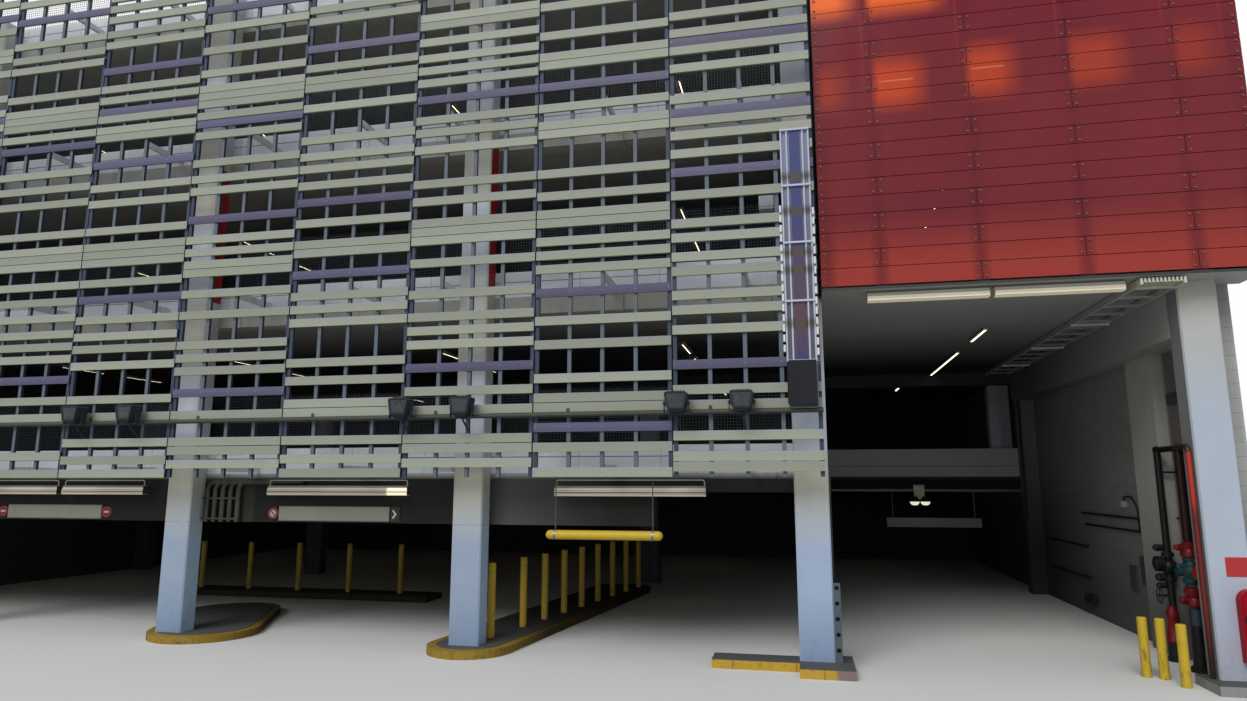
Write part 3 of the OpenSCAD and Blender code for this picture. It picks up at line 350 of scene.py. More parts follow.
dress(weathered("bare_concrete", (0.24, 0.23, 0.20), (0.05, 0.048, 0.042), 0.85, 0.40, 0.40, 0.15, 0.2,
                paint=shutter_colours),
      "deck_2", "deck_3", "deck_4", "rear_beams", "side_beams", "middle_beams", "front_beams")


def roof_colours(tree, x, y, z):
    on_top = z.rise(11.66, 11.675)
    bay_lines = x.lines(2.5, 0.1, 0.2) * (y.band(-8.4, -3.5) | y.band(3.6, 8.7)) * on_top
    tyres = noise_of(tree, 1.2, 5, 0.6, (0.25, 2.5, 1)).rise(0.5, 0.8, 0, 0.5)
    # Painted shade: the roof deck's underside darkens from the street edge inwards.
    soffit_painted_shade = y.rise(-8.8, -2.5).mix((0.49, 0.475, 0.435), (0.09, 0.09, 0.090))
    return coated(soffit_painted_shade, (on_top, tyres.mix((0.33, 0.33, 0.32), (0.17, 0.17, 0.17))),
                  (bay_lines, (0.78, 0.78, 0.74)))


dress(weathered("roof_finish", (0.33, 0.33, 0.32), (0.12, 0.115, 0.105), 0.85, 0.4, 0.4, 0.15, 0.25,
                paint=roof_colours), "roof_deck")


# Parapets: precast panels along the deck edges, painted a cool white, with a thin open
# joint at half height where two pours meet.
def parapet_colours(tree, x, y, z):
    level = worked("FLOORED_MODULO", z - first_deck, storey)
    marks = x.lines(1.35, 0.014) * 0.35 | level.band(0.255, 0.268, 0.003)
    return coated((0.78, 0.83, 0.90), (level.rise(0.0, roof_parapet), (0.88, 0.91, 0.95)),
                  (y.band(0.3, 1.2) * x.rise(7.8, 7.9), (0.46, 0.46, 0.45)), (marks, (0.10, 0.11, 0.13)))


dress(weathered("parapet_paint", (0.84, 0.88, 0.93), (0.45, 0.46, 0.46), 0.6, 0.35, 0.16, 0.06, 0.08,
                paint=parapet_colours), "front_parapets", "rear_parapets", "side_parapets")


# Block walls: hollow concrete blocks in running bond, painted grey. Beside the tall bay
# the wall has smooth cast piers and a deep beam along its top.
def block_colours(tree, x, y, z):
    flat = node_of(tree, "CombineXYZ", {"X": x + y, "Y": z})
    blocks = node_of(tree, "TexBrick", {
        "Vector": flat.outputs["Vector"], "Scale": 1.0, "Mortar Size": 0.005, "Mortar Smooth": 0.3,
        "Brick Width": 0.4, "Row Height": 0.2, "Color1": (0.36, 0.36, 0.342), "Color2": (0.33, 0.33, 0.315),
        "Mortar": (0.23, 0.23, 0.222)})
    piers = (x.band(12.88, 13.24, 0.002) | x.band(12.7, 12.84)) * y.fall(-2.0, -1.0)
    joints = y.lines(4.6, 0.035, -9.12) | z.lines(storey, 0.045, 2.6)
    outer = coated((0.40, 0.40, 0.385), (z.lines(0.2, 0.012) * 0.45, (0.24, 0.24, 0.23)),
                   (joints, (0.12, 0.12, 0.115)))
    return coated(blocks.outputs["Color"],
                  (piers, (0.52, 0.50, 0.46)),
                  (y.fall(-7.2, -7.14) * x.rise(13.3, 13.26), (0.19, 0.165, 0.145)),
                  (z.rise(0.6, 2.8, 0.80, 0), (0.06, 0.06, 0.06)),
                  # Painted shade: the wall darkens towards the back of the bay, most near the ground.
                  (y.rise(-4.0, 0.2) * z.rise(1.0, 3.6, 0.90, 0.45), (0.045, 0.045, 0.046)),
                  (x.rise(13.5, 13.54), outer))


dress(weathered("block_paint", (0.25, 0.25, 0.24), (0.13, 0.125, 0.115), 0.8, 0.35, 0.22, 0.10, 0.15,
                paint=block_colours), "side_wall")


def wall_colours_with_inner_shade(tree, x, y, z):
    # Painted shade: the inner faces of the rear and end walls are painted near black; their outer faces keep
    # the grey paint.
    courses = z.lines(0.2, 0.01) * 0.6
    inner = courses.mix((0.045, 0.045, 0.043), (0.02, 0.02, 0.02))
    outer = courses.mix((0.36, 0.36, 0.345), (0.2, 0.2, 0.19))
    return (y.rise(9.05, 9.07) | x.rise(-13.07, -13.09)).mix(inner, outer)


dress(weathered("wall_paint_with_inner_shade", (0.05, 0.05, 0.05), (0.03, 0.03, 0.03), 0.85, 0.4, 0.3, 0.1, 0.12,
                paint=wall_colours_with_inner_shade), "rear_walls", "end_walls")


def wall_beam_colours_with_shade(tree, x, y, z):
    # Painted shade: the beam darkens from the street edge inwards.
    return y.rise(-8.8, -1.5).mix((0.42, 0.42, 0.385), (0.13, 0.13, 0.125))


dress(weathered("wall_beam_paint_with_shade", (0.2, 0.2, 0.19), (0.1, 0.1, 0.09), 0.75, 0.25, 0.2, 0.08, 0.08,
                paint=wall_beam_colours_with_shade), "wall_beam")


# Ceiling of the tall bay: smooth grey boards with fine butt joints, painted lighter by daylight
# along its front edge and darkened by painted shade towards the back.
def ceiling_colours(tree, x, y, z):
    joints = x.lines(1.2, 0.012, 0.75) | y.lines(2.4, 0.012)
    return coated((0.40, 0.40, 0.37), (y.rise(-9.5, -6.5), (0.34, 0.345, 0.335)),
                  (y.rise(-6.5, -1.0), (0.022, 0.023, 0.025)), (y.rise(-9.519, -9.521), (0.05, 0.05, 0.046)),
                  (joints * 0.4, (0.10, 0.10, 0.10)))


dress(weathered("ceiling_board", (0.3, 0.3, 0.28), (0.15, 0.15, 0.14), 0.5, 0.1, 0.14, 0.04, 0.04,
                paint=ceiling_colours), "tall_bay_ceiling")


# Louvre screens: ribbed aluminium slats 140 mm high, pale sage with a few of violet grey
# set a little deeper, each fixed by a screw to every upright behind it.
def slat_colours(upper, lower, spread):
    """Colours of a slat: tone runs from slat to slat, height runs up one slat's face."""
    def paint(tree, x, y, z):
        tone, height, unused = split_of(node_of(tree, "UVMap", uv_map="slat").outputs["UV"])
        ribs = worked("PINGPONG", height, 0.125)
        # Painted light and shade: the upper half of each slat lighter and greyer as lit from above, painted
        # shade in the rib lines and a painted shadow along its lower edge.
        body = coated(lower, (height.rise(0.30, 0.70), upper),
                      (ribs.rise(0.004, 0.020, 0.30, 0), tuple(0.45 * c for c in lower)),
                      (height.rise(0.0, 0.05, 0.45, 0), tuple(0.35 * c for c in lower)))
        return toned(body, tone.rise(0, 1, 1 - spread, 1 + spread))
    return paint


pale_slat = weathered("pale_slat_paint", (0.5, 0.5, 0.44), (0.26, 0.26, 0.22), 0.42, 0.28, 0.12,
                      0.05, 0.04, paint=slat_colours((0.325, 0.335, 0.310), (0.330, 0.360, 0.265), 0.12))
dark_slat = weathered("dark_slat_paint", (0.11, 0.1, 0.17), (0.07, 0.06, 0.08), 0.42, 0.2, 0.12,
                      0.05, 0.04, paint=slat_colours((0.115, 0.110, 0.195), (0.095, 0.088, 0.150), 0.16))
panel_width = 2.16
front_start, side_start = -13.70, -9.692


def upright_colours(tree, x, y, z):
    across, along, up = facing_of(tree)
    on_side = x.rise(-13.50, -13.52)
    ahead = 1.0 - on_side
    at_joint = (x.lines(panel_width, 0.2, front_start) * ahead
                | y.lines(panel_width, 0.2, side_start) * on_side)
    front = at_joint.mix((0.120, 0.142, 0.175), (0.048, 0.060, 0.095))
    # Painted shade: faces of the uprights turned sideways are painted darker than their fronts.
    sides_in_painted_shade = abs(across) * ahead | abs(along) * on_side
    return sides_in_painted_shade.rise(0.5, 0.8).mix(front, (0.040, 0.050, 0.080))


upright_paint = weathered("upright_paint", (0.150, 0.180, 0.220), (0.07, 0.075, 0.085), 0.5,
                          0.35, 0.25, 0.06, 0.05, paint=upright_colours)
arm_paint = weathered("arm_paint", (0.84, 0.88, 0.93), (0.3, 0.3, 0.3), 0.5, 0.35, 0.2, 0.06, 0.05)


def only(piece):
    """Leaves one piece selected and active."""
    bpy.ops.object.select_all(action="DESELECT")
    piece.select_set(True)
    bpy.context.view_layer.objects.active = piece


def merged_copy(name):
    """A welded copy of a CAD node's mesh, as a piece of its own."""
    copy = bpy.data.objects.new(name + "_dressed", cad[name].data.copy())
    bpy.context.scene.collection.objects.link(copy)
    only(copy)
    bpy.ops.object.mode_set(mode="EDIT")
    bpy.ops.mesh.select_all(action="SELECT")
    bpy.ops.mesh.remove_doubles(threshold=0.0002)
    bpy.ops.mesh.dissolve_limited(angle_limit=math.radians(1))
    bpy.ops.object.mode_set(mode="OBJECT")
    return copy


def finish_piece(piece, name, finish=None, body="building"):
    """Names a finished piece, gives it its finish and slot, and lets it ride."""
    piece.name = name
    piece.data.name = name
    if finish:
        piece.data.materials.clear()
        piece.data.materials.append(finish)
    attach(piece, body)


def faces_where(piece, wanted):
    """Edit mode on a piece, with only the wanted faces selected."""
    only(piece)
    bpy.ops.object.mode_set(mode="EDIT")
    bpy.ops.mesh.select_mode(type="FACE")
    bpy.ops.mesh.select_all(action="DESELECT")
    bpy.ops.object.mode_set(mode="OBJECT")
    for face in piece.data.polygons:
        face.select = wanted(face)
    bpy.ops.object.mode_set(mode="EDIT")


same_plane = 0.002


def push_plane(piece, axis, looks, plane, step):
    """Moves the faces in one plane that look up (1) or down (-1) the axis by a step along it."""
    faces_where(piece, lambda face: face.normal[axis] * looks > 0.9
                and abs(face.center[axis] - plane) < same_plane)
    bpy.ops.transform.translate(value=[step if k == axis else 0 for k in range(3)])
    bpy.ops.object.mode_set(mode="OBJECT")


def chance_of(one, other):
    """A fixed number from 0 to 1 that seems drawn by lot."""
    value = math.sin(one * 12.9898 + other * 78.233) * 43758.5453
    return value - math.floor(value)


# The uprights are 50 mm slimmer than their solids. On the side and rear the slats' faces
# stand back for the screw heads, so that these stay within the building's own box.
slat_fronts = []
slimmer = 0.05
upright_back = 0.14
screw_room = 0.0035


def screen_piece(name, axis, outer, sign):
    """Dresses one run of panels. outer is the outermost plane, sign its direction on the axis."""
    piece = merged_copy(name)
    mesh = piece.data
    mesh.materials.clear()
    for finish in (pale_slat, dark_slat, upright_paint):
        mesh.materials.append(finish)
    layout = mesh.uv_layers.new(name="slat")
    run = 1 - axis
    for face in mesh.polygons:
        points = [mesh.vertices[v].co for v in face.vertices]
        depths = [(outer - p[axis]) * sign for p in points]
        nearest, furthest = min(depths), max(depths)
        outward = face.normal[axis] * sign
        heights = [p.z for p in points]
        low, high = min(heights), max(heights)
        on_upright = furthest > 0.045 or (nearest > 0.035 and outward > 0.9)
        set_back = 0.004 < nearest < 0.035
        face.material_index = 2 if on_upright else int(set_back)
        panel = math.floor((face.center[run] + 40.0) / panel_width)
        tone = chance_of(panel, round(face.center.z / 0.075))
        for loop in face.loop_indices:
            z = mesh.vertices[mesh.loops[loop].vertex_index].co.z
            layout.data[loop].uv = (tone, (z - low) / (high - low) if high - low > 0.05 else 0.5)
        if outward > 0.9 and furthest < 0.03 and high - low > 0.1:
            ends = [p[run] for p in points]
            slat_fronts.append((axis, sign, points[0][axis], min(ends), max(ends), (low + high) / 2))
    if axis == 0 or sign > 0:
        push_plane(piece, axis, sign, outer, -sign * screw_room)
    push_plane(piece, axis, -sign, outer - sign * upright_back, sign * slimmer)
    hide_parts(name)
    finish_piece(piece, name + "_dressed")


faces_of_building = {"front": (1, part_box("front_screen_1")[0].y, -1, 5),
                     "side": (0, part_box("side_screen_1")[0].x, -1, 3),
                     "rear": (1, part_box("rear_screen_1")[1].y, 1, 4)}
for label, (axis, plane, sign, screens) in faces_of_building.items():
    for number in range(1, screens + 1):
        screen_piece(f"{label}_screen_{number}", axis, plane, sign)
arms = merged_copy("screen_arms")
for axis, plane, sign, screens in faces_of_building.values():
    push_plane(arms, axis, sign, plane - sign * upright_back, sign * slimmer)
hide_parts("screen_arms")
finish_piece(arms, "screen_arms_dressed", arm_paint)
front_plane = faces_of_building["front"][1]


# Slat screws: domed steel heads, driven through the slat into every upright that it
# crosses.
def settled(piece):
    """Leaves edit mode and puts the piece's place into its mesh."""
    bpy.ops.object.mode_set(mode="OBJECT")
    only(piece)
    bpy.ops.object.transform_apply(location=True, rotation=True, scale=True)
    return piece


def drum(sides, radius, depth, axis="x", middle=(0, 0, 0)):
    """A round body along an axis, as the start of a piece."""
    turn = {"x": (0, math.pi / 2, 0), "y": (math.pi / 2, 0, 0), "z": (0, 0, 0)}[axis]
    bpy.ops.object.select_all(action="DESELECT")
    bpy.ops.mesh.primitive_cylinder_add(vertices=sides, radius=radius, depth=depth, rotation=turn,
                                        location=middle)
    return bpy.context.object


def turned_disc(sides, radius, thick, axis="y", crown=0.35):
    """A low round boss at the origin along an axis, its outer rim drawn in on both faces."""
    boss = drum(sides, radius, thick, axis)
    faces_where(boss, lambda face: abs(face.normal.z) > 0.9)
    bpy.ops.mesh.inset(thickness=radius * crown, depth=thick * 0.3)
    return settled(boss)


def copies_of(master, places, name, finish):
    """One piece made of a copy of a modelled master at each place."""
    bpy.ops.object.select_all(action="DESELECT")
    for place in places:
        copy = master.copy()
        copy.data = master.data.copy()
        copy.data.transform(Matrix.Translation(place))
        bpy.context.scene.collection.objects.link(copy)
        copy.select_set(True)
    bpy.context.view_layer.objects.active = copy
    bpy.ops.object.join()
    bpy.data.objects.remove(master)
    finish_piece(bpy.context.object, name, finish)


steel_dull = weathered("dull_steel", (0.26, 0.28, 0.28), (0.12, 0.11, 0.10), 0.45, 0.4, 0.3, 0.08,
                       0.05, metallic=0.6)
end_upright = 0.03
upright_step = (2.14 - 2 * end_upright) / 4
head_sunk, head_proud = -0.0032, 0.0015
for label, (axis, outer, sign, screens) in faces_of_building.items():
    places = []
    for front in slat_fronts:
        if front[:2] != (axis, sign):
            continue
        plane, start, end, height = front[2:]
        outermost = label != "front" and abs(plane - outer) < same_plane
        across = plane + sign * (head_sunk if outermost else head_proud)
        for panel in range(max(round((end - start) / panel_width), 1)):
            for k in range(5):
                along = start + panel * panel_width + end_upright + k * upright_step
                places.append((along, across, height) if axis == 1 else (across, along, height))
    screw = turned_disc(6, 0.009, 0.004, "xy"[axis])
    copies_of(screw, places, f"{label}_slat_screws", steel_dull)


# Guard mesh: welded wire on a 50 mm grid, clipped to the backs of the columns above every
# parapet so that nothing can fall through the louvres.
def block(middle, size):
    """A block at its size and place, as the start of a piece."""
    bpy.ops.object.select_all(action="DESELECT")
    bpy.ops.mesh.primitive_cube_add(size=1, location=middle, scale=size)
    bpy.ops.object.transform_apply(location=True, rotation=True, scale=True)
    return bpy.context.object


def row_of(master, step, count):
    """A row of a modelled master: an array along one step, applied."""
    bpy.context.view_layer.objects.active = master
    row = master.modifiers.new("row", "ARRAY")
    row.use_relative_offset = False
    row.use_constant_offset = True
    row.constant_offset_displace = step
    row.count = count
    bpy.ops.object.modifier_apply(modifier=row.name)
    return master


mesh_pitch, mesh_wire = 0.05, 0.004
mesh_left, mesh_width = -13.0, 20.65
mesh_y = deck_front + 0.13
wires = []
for deck, rows in enumerate((19, 19, 19, 14)):
    foot = first_deck + deck * storey + 0.45
    height = rows * mesh_pitch
    upright = block((mesh_left, mesh_y, foot + height / 2), (mesh_wire, mesh_wire, height))
    wires.append(row_of(upright, (mesh_pitch, 0, 0), int(mesh_width / mesh_pitch)))
    level = block((mesh_left + mesh_width / 2, mesh_y + mesh_wire, foot), (mesh_width, mesh_wire, mesh_wire))
    wires.append(row_of(level, (0, 0, mesh_pitch), rows))
bpy.ops.object.select_all(action="DESELECT")
for wire in wires:
    wire.select_set(True)
bpy.context.view_layer.objects.active = wires[0]
bpy.ops.object.join()
mesh_paint = weathered("mesh_wire", (0.10, 0.12, 0.14), (0.05, 0.05, 0.05), 0.5, 0.3, 0.3, 0.05, 0.03,
                       metallic=0.4)
finish_piece(bpy.context.object, "guard_mesh", mesh_paint)


# Red glass: laminated panes in running bond between dark purple posts. Painted light shows
# daylight glowing through the lowest rows, thin lit lines beside the posts and the lamps behind
# the glass in soft patches and tubes; the posts behind it are painted in as shadows.
glass_low, glass_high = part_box("glass_panes")
row_height = 0.272
pane_width = 1.36
joint_lines = [8.80, 10.16, 11.52, 12.88]
# Each glow's left, right, foot, top and strength
glows = ((7.85, 8.55, 9.78, 10.6, 1.0), (8.80, 9.86, 9.76, 10.6, 0.9), (8.84, 9.52, 8.22, 8.94, 0.75),
         (10.16, 10.78, 8.26, 9.02, 0.62), (11.55, 12.24, 8.26, 9.02, 0.42), (8.02, 8.38, 8.25, 8.9, 0.34),
         (12.9, 13.4, 8.3, 9.0, 0.25))


def glass_colours(tree, x, y, z):
    row = worked("FLOOR", (z - glass_low.z) / row_height)
    column = worked("FLOOR", (x - joint_lines[0]) / pane_width)
    pane = node_of(tree, "CombineXYZ", {"X": row, "Y": column})
    chance = Reading(node_of(tree, "TexWhiteNoise", {"Vector": pane.outputs["Vector"]}).outputs["Value"])
    lines = joint_lines + [glass_low.x + 0.1, glass_high.x - 0.1]
    # Painted shadow of the posts behind the glass, strongest in the glowing lowest rows.
    post_shadows = any_of(x.band(line - 0.09, line + 0.09, 0.06) for line in lines)
    # Painted light: thin lit lines beside the posts in the upper rows.
    lit_rims = any_of(x.band(line - 0.13, line - 0.10, 0.02) for line in lines)
    body = coated((0.160, 0.021, 0.030),
                  (noise_of(tree, 0.55, 3).rise(0.35, 0.65), (0.200, 0.026, 0.033)),
                  (chance * 0.35, (0.215, 0.030, 0.030)),
                  (z.rise(8.6, 10.2, 0, 0.8), (0.190, 0.014, 0.030)),
                  # Painted light: daylight glowing through the lowest rows.
                  (z.fall(5.72, 6.50), (0.345, 0.046, 0.034)),
                  (post_shadows * z.rise(5.9, 7.0, 0.50, 0.14), (0.075, 0.009, 0.016)),
                  (lit_rims * z.rise(8.2, 9.6, 0.0, 0.30), (0.45, 0.055, 0.030)))
    # Painted light: soft patches where the lamps behind the glass show.
    for left, right, foot, top, strength in glows:
        up_down = z.rise(foot - 0.16, foot + 0.16) * z.fall(top - 0.20, top + 0.14)
        left_right = x.rise(left - 0.06, left + 0.06) * x.fall(right - 0.22, right + 0.14)
        glow = (0.96, 0.155, 0.024) if foot > 9.5 else (0.68, 0.082, 0.022)
        body = (up_down * left_right * strength).mix(body, glow)
    # Painted light: two lamp tubes seen through the glass.
    for left, right, foot in ((8.92, 9.40, 8.60), (10.22, 10.66, 8.66)):
        lamp_tube_light = x.band(left, right, 0.03) * z.band(foot, foot + 0.012, 0.008)
        body = (lamp_tube_light * 0.7).mix(body, (0.80, 0.36, 0.20))
    return body


glass_finish, tree, shader = finish_of("red_glass", (0.18, 0.024, 0.03), 0.16, shine=0.12)
supply(shader["Base Color"], glass_colours(tree, *place_of(tree)))
supply(shader["Roughness"], noise_of(tree, 3.0, 5, stretch=(1, 1, 0.4)).rise(0.3, 0.7, 0.10, 0.26))
dress(glass_finish, "glass_panes")
dress(weathered("post_paint", (0.030, 0.016, 0.040), (0.03, 0.03, 0.03), 0.5, 0.2, 0.2), "glass_posts")


# Point fixings: a small steel disc in each corner of every pane, screwed through the glass
# into the post behind the joint.
corner = 0.055
places = []
for row in range(round((glass_high.z - glass_low.z + 0.01) / row_height)):
    lines = [line for k, line in enumerate(joint_lines) if k % 2 != row % 2]
    columns = [line + side for line in lines for side in (-corner, corner)]
    for across in [glass_low.x + corner] + columns + [glass_high.x - corner]:
        for lift in (0.045, row_height - corner):
            places.append((across, glass_low.y - 0.004, glass_low.z + row * row_height + lift))
disc_finish = weathered("disc_metal", (0.17, 0.065, 0.055), (0.09, 0.03, 0.03), 0.4, 0.3, 0.2, 0.05,
                        0.02, metallic=0.2)
copies_of(turned_disc(14, 0.019, 0.010), places, "glass_fixings", disc_finish)


# Kerbed islands: cast kerb stones round a grey filling. The yellow paint is fresh on the street
# nose and missing on the stone beside the tall bay; under the deck painted shade turns it dark
# olive along the lanes, near black deeper in, and darkens the filling.
def kerb_colours(tree, x, y, z):
    chips = noise_of(tree, 14, 6, 0.7).rise(0.56, 0.62)
    fresh = (chips * 0.85).mix((0.33, 0.21, 0.030), (0.12, 0.105, 0.07))
    # Painted shade: under the deck the yellow turns dark olive, near black deeper in the lanes.
    painted_lane_shade = coated((0.070, 0.050, 0.014), (chips, (0.025, 0.023, 0.020)),
                 (y.rise(-5.5, -3.5), (0.022, 0.017, 0.008)))
    column_kerb = x.rise(6.15, 6.19) * x.fall(7.9, 8.0) * chips.rise(0.0, 1.0, 1, 0.5)
    stone = x.rise(12.4, 12.5).mix((0.235, 0.17, 0.165), (0.28, 0.285, 0.28))
    # Painted shade: the filling darkens inwards under the deck.
    filling = y.rise(-8.6, -6.5).mix((0.090, 0.092, 0.092), (0.030, 0.031, 0.030))
    joints = (x + y).lines(0.9, 0.012) * z.fall(0.1205, 0.1215)
    return coated(fresh, (y.rise(-8.9, -7.4), painted_lane_shade), (column_kerb, (0.52, 0.33, 0.04)),
                  (x.rise(7.94, 7.98), stone), (z.rise(0.1225, 0.1235), filling),
                  (joints * 0.7, (0.05, 0.045, 0.03)))


dress(weathered("kerb_finish", (0.4, 0.27, 0.05), (0.07, 0.06, 0.04), 0.75, 0.45, 0.35, 0.15, 0.2,
                paint=kerb_colours), "kerb_islands")


# Bollards and clearance bar: steel pipe in yellow gloss, scraped near the foot. Those deep
# in the lanes are darkened to olive by painted shade; the bar and the three by the wall are not.
def yellow_colours(tree, x, y, z):
    # Painted shade: bollards deep in the lanes turn dark olive; the bar and those in the tall bay by the wall
    # stay bright.
    bollard_lane_shade = y.rise(-8.6, -4.0, 0.15, 0.75) * x.rise(9.0, 10.0, 1, 0.15) * z.rise(1.70, 1.76, 1, 0.1)
    bands = z.band(1.17, 1.19) | z.band(1.27, 1.285)
    scraped = z.rise(0.15, 0.70, 0.9, 0) * noise_of(tree, 16, 6, 0.7, (1, 1, 0.4)).rise(0.52, 0.62)
    return coated((0.60, 0.42, 0.035), (bollard_lane_shade, (0.40, 0.26, 0.045)), (bands * 0.45, (0.2, 0.15, 0.03)),
                  (scraped, (0.12, 0.10, 0.05)))


dress(weathered("yellow_gloss", (0.6, 0.43, 0.04), (0.2, 0.16, 0.05), 0.4, 0.3, 0.2, 0.05, 0.05,
                paint=yellow_colours), "bollards", "clearance_bar")
dress(weathered("rod_steel", (0.085, 0.09, 0.095), (0.05, 0.05, 0.05), 0.5, 0.4, 0.3),
      "bar_rods", "bar_hanger")


# Clearance bar bands: two clamp straps of galvanised strip, bent round the pipe where its
# rods hold it.
bar_low, bar_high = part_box("clearance_bar")
bar_middle = (bar_low + bar_high) / 2
bar_radius = (bar_high.z - bar_low.z) / 2
for side, label in ((-1, "left"), (1, "right")):
    strap = drum(48, bar_radius + 0.004, 0.034, "x", (bar_middle.x + side * 0.76, bar_middle.y, bar_middle.z))
    faces_where(strap, lambda face: abs(face.normal.z) > 0.9)
    bpy.ops.mesh.inset(thickness=0.0035, depth=0.0)
    bpy.ops.mesh.delete(type="FACE")
    finish_piece(settled(strap), f"bar_strap_{label}", steel_dull, "bar")


# Conduits and wall pipes: galvanised tube along the portal beam, thin black tube on the
# block wall and one grey pipe under the deck at the back of the tall bay.
def conduit_colours(tree, x, y, z):
    grime = noise_of(tree, 5, 5, stretch=(1, 1, 0.3)).rise(0.35, 0.7)
    under_deck = y.rise(0.2, 0.3) * x.rise(7.9, 8.0) * x.fall(13.0, 13.05)
    return coated((0.070, 0.067, 0.054), (grime, (0.030, 0.029, 0.023)),
                  (x.rise(13.0, 13.05), (0.018, 0.018, 0.02)), (under_deck, (0.22, 0.22, 0.21)))


dress(weathered("conduit_steel", (0.12, 0.12, 0.10), (0.05, 0.05, 0.04), 0.38, 0.3, 0.25, 0.06, 0.04,
                metallic=0.35, paint=conduit_colours, shine=0.4), "conduits")
dress(weathered("rail_paint", (0.060, 0.062, 0.052), (0.03, 0.03, 0.025), 0.5, 0.35, 0.25, 0.06, 0.04),
      "floodlight_rail")


# Fittings on the block wall: a round lamp in a bent conduit, two slatted vents, a small
# black box near the ground and an access plate high up.
def bent_tube(points, radius, name, finish, bend=0.07, sides=2):
    """A round tube along corner points, each corner turned on a small bend."""
    points = [Vector(point) for point in points]
    route = [points[0]]
    for before, corner, after in zip(points, points[1:], points[2:]):
        start = corner + (before - corner).normalized() * min(bend, (before - corner).length * 0.45)
        end = corner + (after - corner).normalized() * min(bend, (after - corner).length * 0.45)
        for share in (0, 0.2, 0.4, 0.6, 0.8, 1):
            route.append(start.lerp(corner, share).lerp(corner.lerp(end, share), share))
    route.append(points[-1])
    line = bpy.data.curves.new(name, "CURVE")
    line.dimensions = "3D"
    line.bevel_depth = radius
    line.bevel_resolution = sides
    line.use_fill_caps = True
    run = line.splines.new("POLY")
    run.points.add(len(route) - 1)
    for point, place in zip(run.points, route):
        point.co = (*place, 1)
    piece = bpy.data.objects.new(name, line)
    bpy.context.scene.collection.objects.link(piece)
    only(piece)
    bpy.ops.object.convert(target="MESH")
    bpy.ops.object.shade_smooth_by_angle(angle=math.radians(40))
    finish_piece(bpy.context.object, name, finish)


def plate(low, high, name, finish, soften=0.002, face_inset=0.0, face_depth=0.0, side=(0, -1, 0)):
    """A softened plate between two corners. The face on one side may be inset and sunk or raised."""
    low, high = Vector(low), Vector(high)
    piece = block((low + high) / 2, high - low)
    if face_inset:
        faces_where(piece, lambda face: face.normal.dot(Vector(side)) > 0.9)
        bpy.ops.mesh.inset(thickness=face_inset, depth=0)
        bpy.ops.transform.translate(value=Vector(side) * face_depth)
        bpy.ops.object.mode_set(mode="OBJECT")
    faces_where(piece, lambda face: True)
    bpy.ops.mesh.bevel(offset=soften, segments=1, affect="EDGES")
    finish_piece(settled(piece), name, finish)


wall_x = 13.25
black_tube = weathered("black_tube", (0.018, 0.018, 0.020), (0.05, 0.05, 0.05), 0.45, 0.3, 0.3)
vent_dark = weathered("vent_dark", (0.060, 0.060, 0.060), (0.03, 0.03, 0.03), 0.55, 0.3, 0.3)
blade_pitch = 0.030
vents = ((-5.34, -5.02, 0.77, 1.20), (-5.73, -5.52, 0.92, 1.40))
for number, (near, far, foot, top) in enumerate(vents, 1):
    plate((wall_x - 0.025, near, foot), (wall_x, far, top), f"wall_vent_{number}",
          vent_dark, 0.003, 0.02, 0.012, (-1, 0, 0))
    bpy.ops.object.select_all(action="DESELECT")
    bpy.ops.mesh.primitive_cube_add(size=1, location=(wall_x - 0.020, (near + far) / 2, foot + 0.045),
                                    scale=(0.022, far - near - 0.05, 0.006),
                                    rotation=(0, math.radians(35), 0))
    blade = bpy.context.object
    faces_where(blade, lambda face: abs(face.normal.x) > 0.9)
    bpy.ops.mesh.bevel(offset=0.001, segments=1, affect="EDGES")
    blades = row_of(settled(blade), (0, 0, blade_pitch), int((top - foot - 0.07) / blade_pitch))
    finish_piece(blades, f"vent_{number}_blades", steel_dull)
plate((wall_x - 0.11, -3.20, 0.26), (wall_x, -2.69, 0.42), "socket_box", black_tube, 0.006,
      0.02, -0.006, (-1, 0, 0))
plate((wall_x - 0.02, -7.58, 3.84), (wall_x, -7.20, 4.03), "access_plate", vent_dark, 0.003,
      0.02, 0.004, (-1, 0, 0))

pipe_x = wall_x - 0.026
bent_tube([(pipe_x, -5.07, 2.31), (pipe_x, -5.07, 2.40), (pipe_x, -5.42, 2.40), (pipe_x, -5.64, 2.22),
           (pipe_x, -5.64, 1.80)], 0.014, "bent_wall_conduit", black_tube)
bent_tube([(pipe_x, -5.742, 2.03), (pipe_x, -6.60, 2.05), (pipe_x, -7.85, 2.17), (pipe_x, -8.30, 2.20)],
          0.012, "wall_conduit_tail", black_tube)
for number, (x, y, low_z, high_z) in enumerate(((12.87, 0.06, 1.75, 4.65), (12.86, 0.14, 2.60, 4.90)), 1):
    bent_tube([(x, y, high_z), (x, y, low_z)], 0.018, f"pier_drop_pipe_{number}",
              black_tube)
lamp = drum(32, 0.065, 0.07, "x", (wall_x - 0.035, -5.07, 2.26))
faces_where(lamp, lambda face: face.normal.z < -0.9)
bpy.ops.mesh.inset(thickness=0.012, depth=0)
bpy.ops.mesh.inset(thickness=0.010, depth=0.012)
lamp_grey = weathered("lamp_grey", (0.42, 0.42, 0.38), (0.2, 0.2, 0.18), 0.4, 0.2, 0.2)
finish_piece(settled(lamp), "round_wall_lamp", lamp_grey)


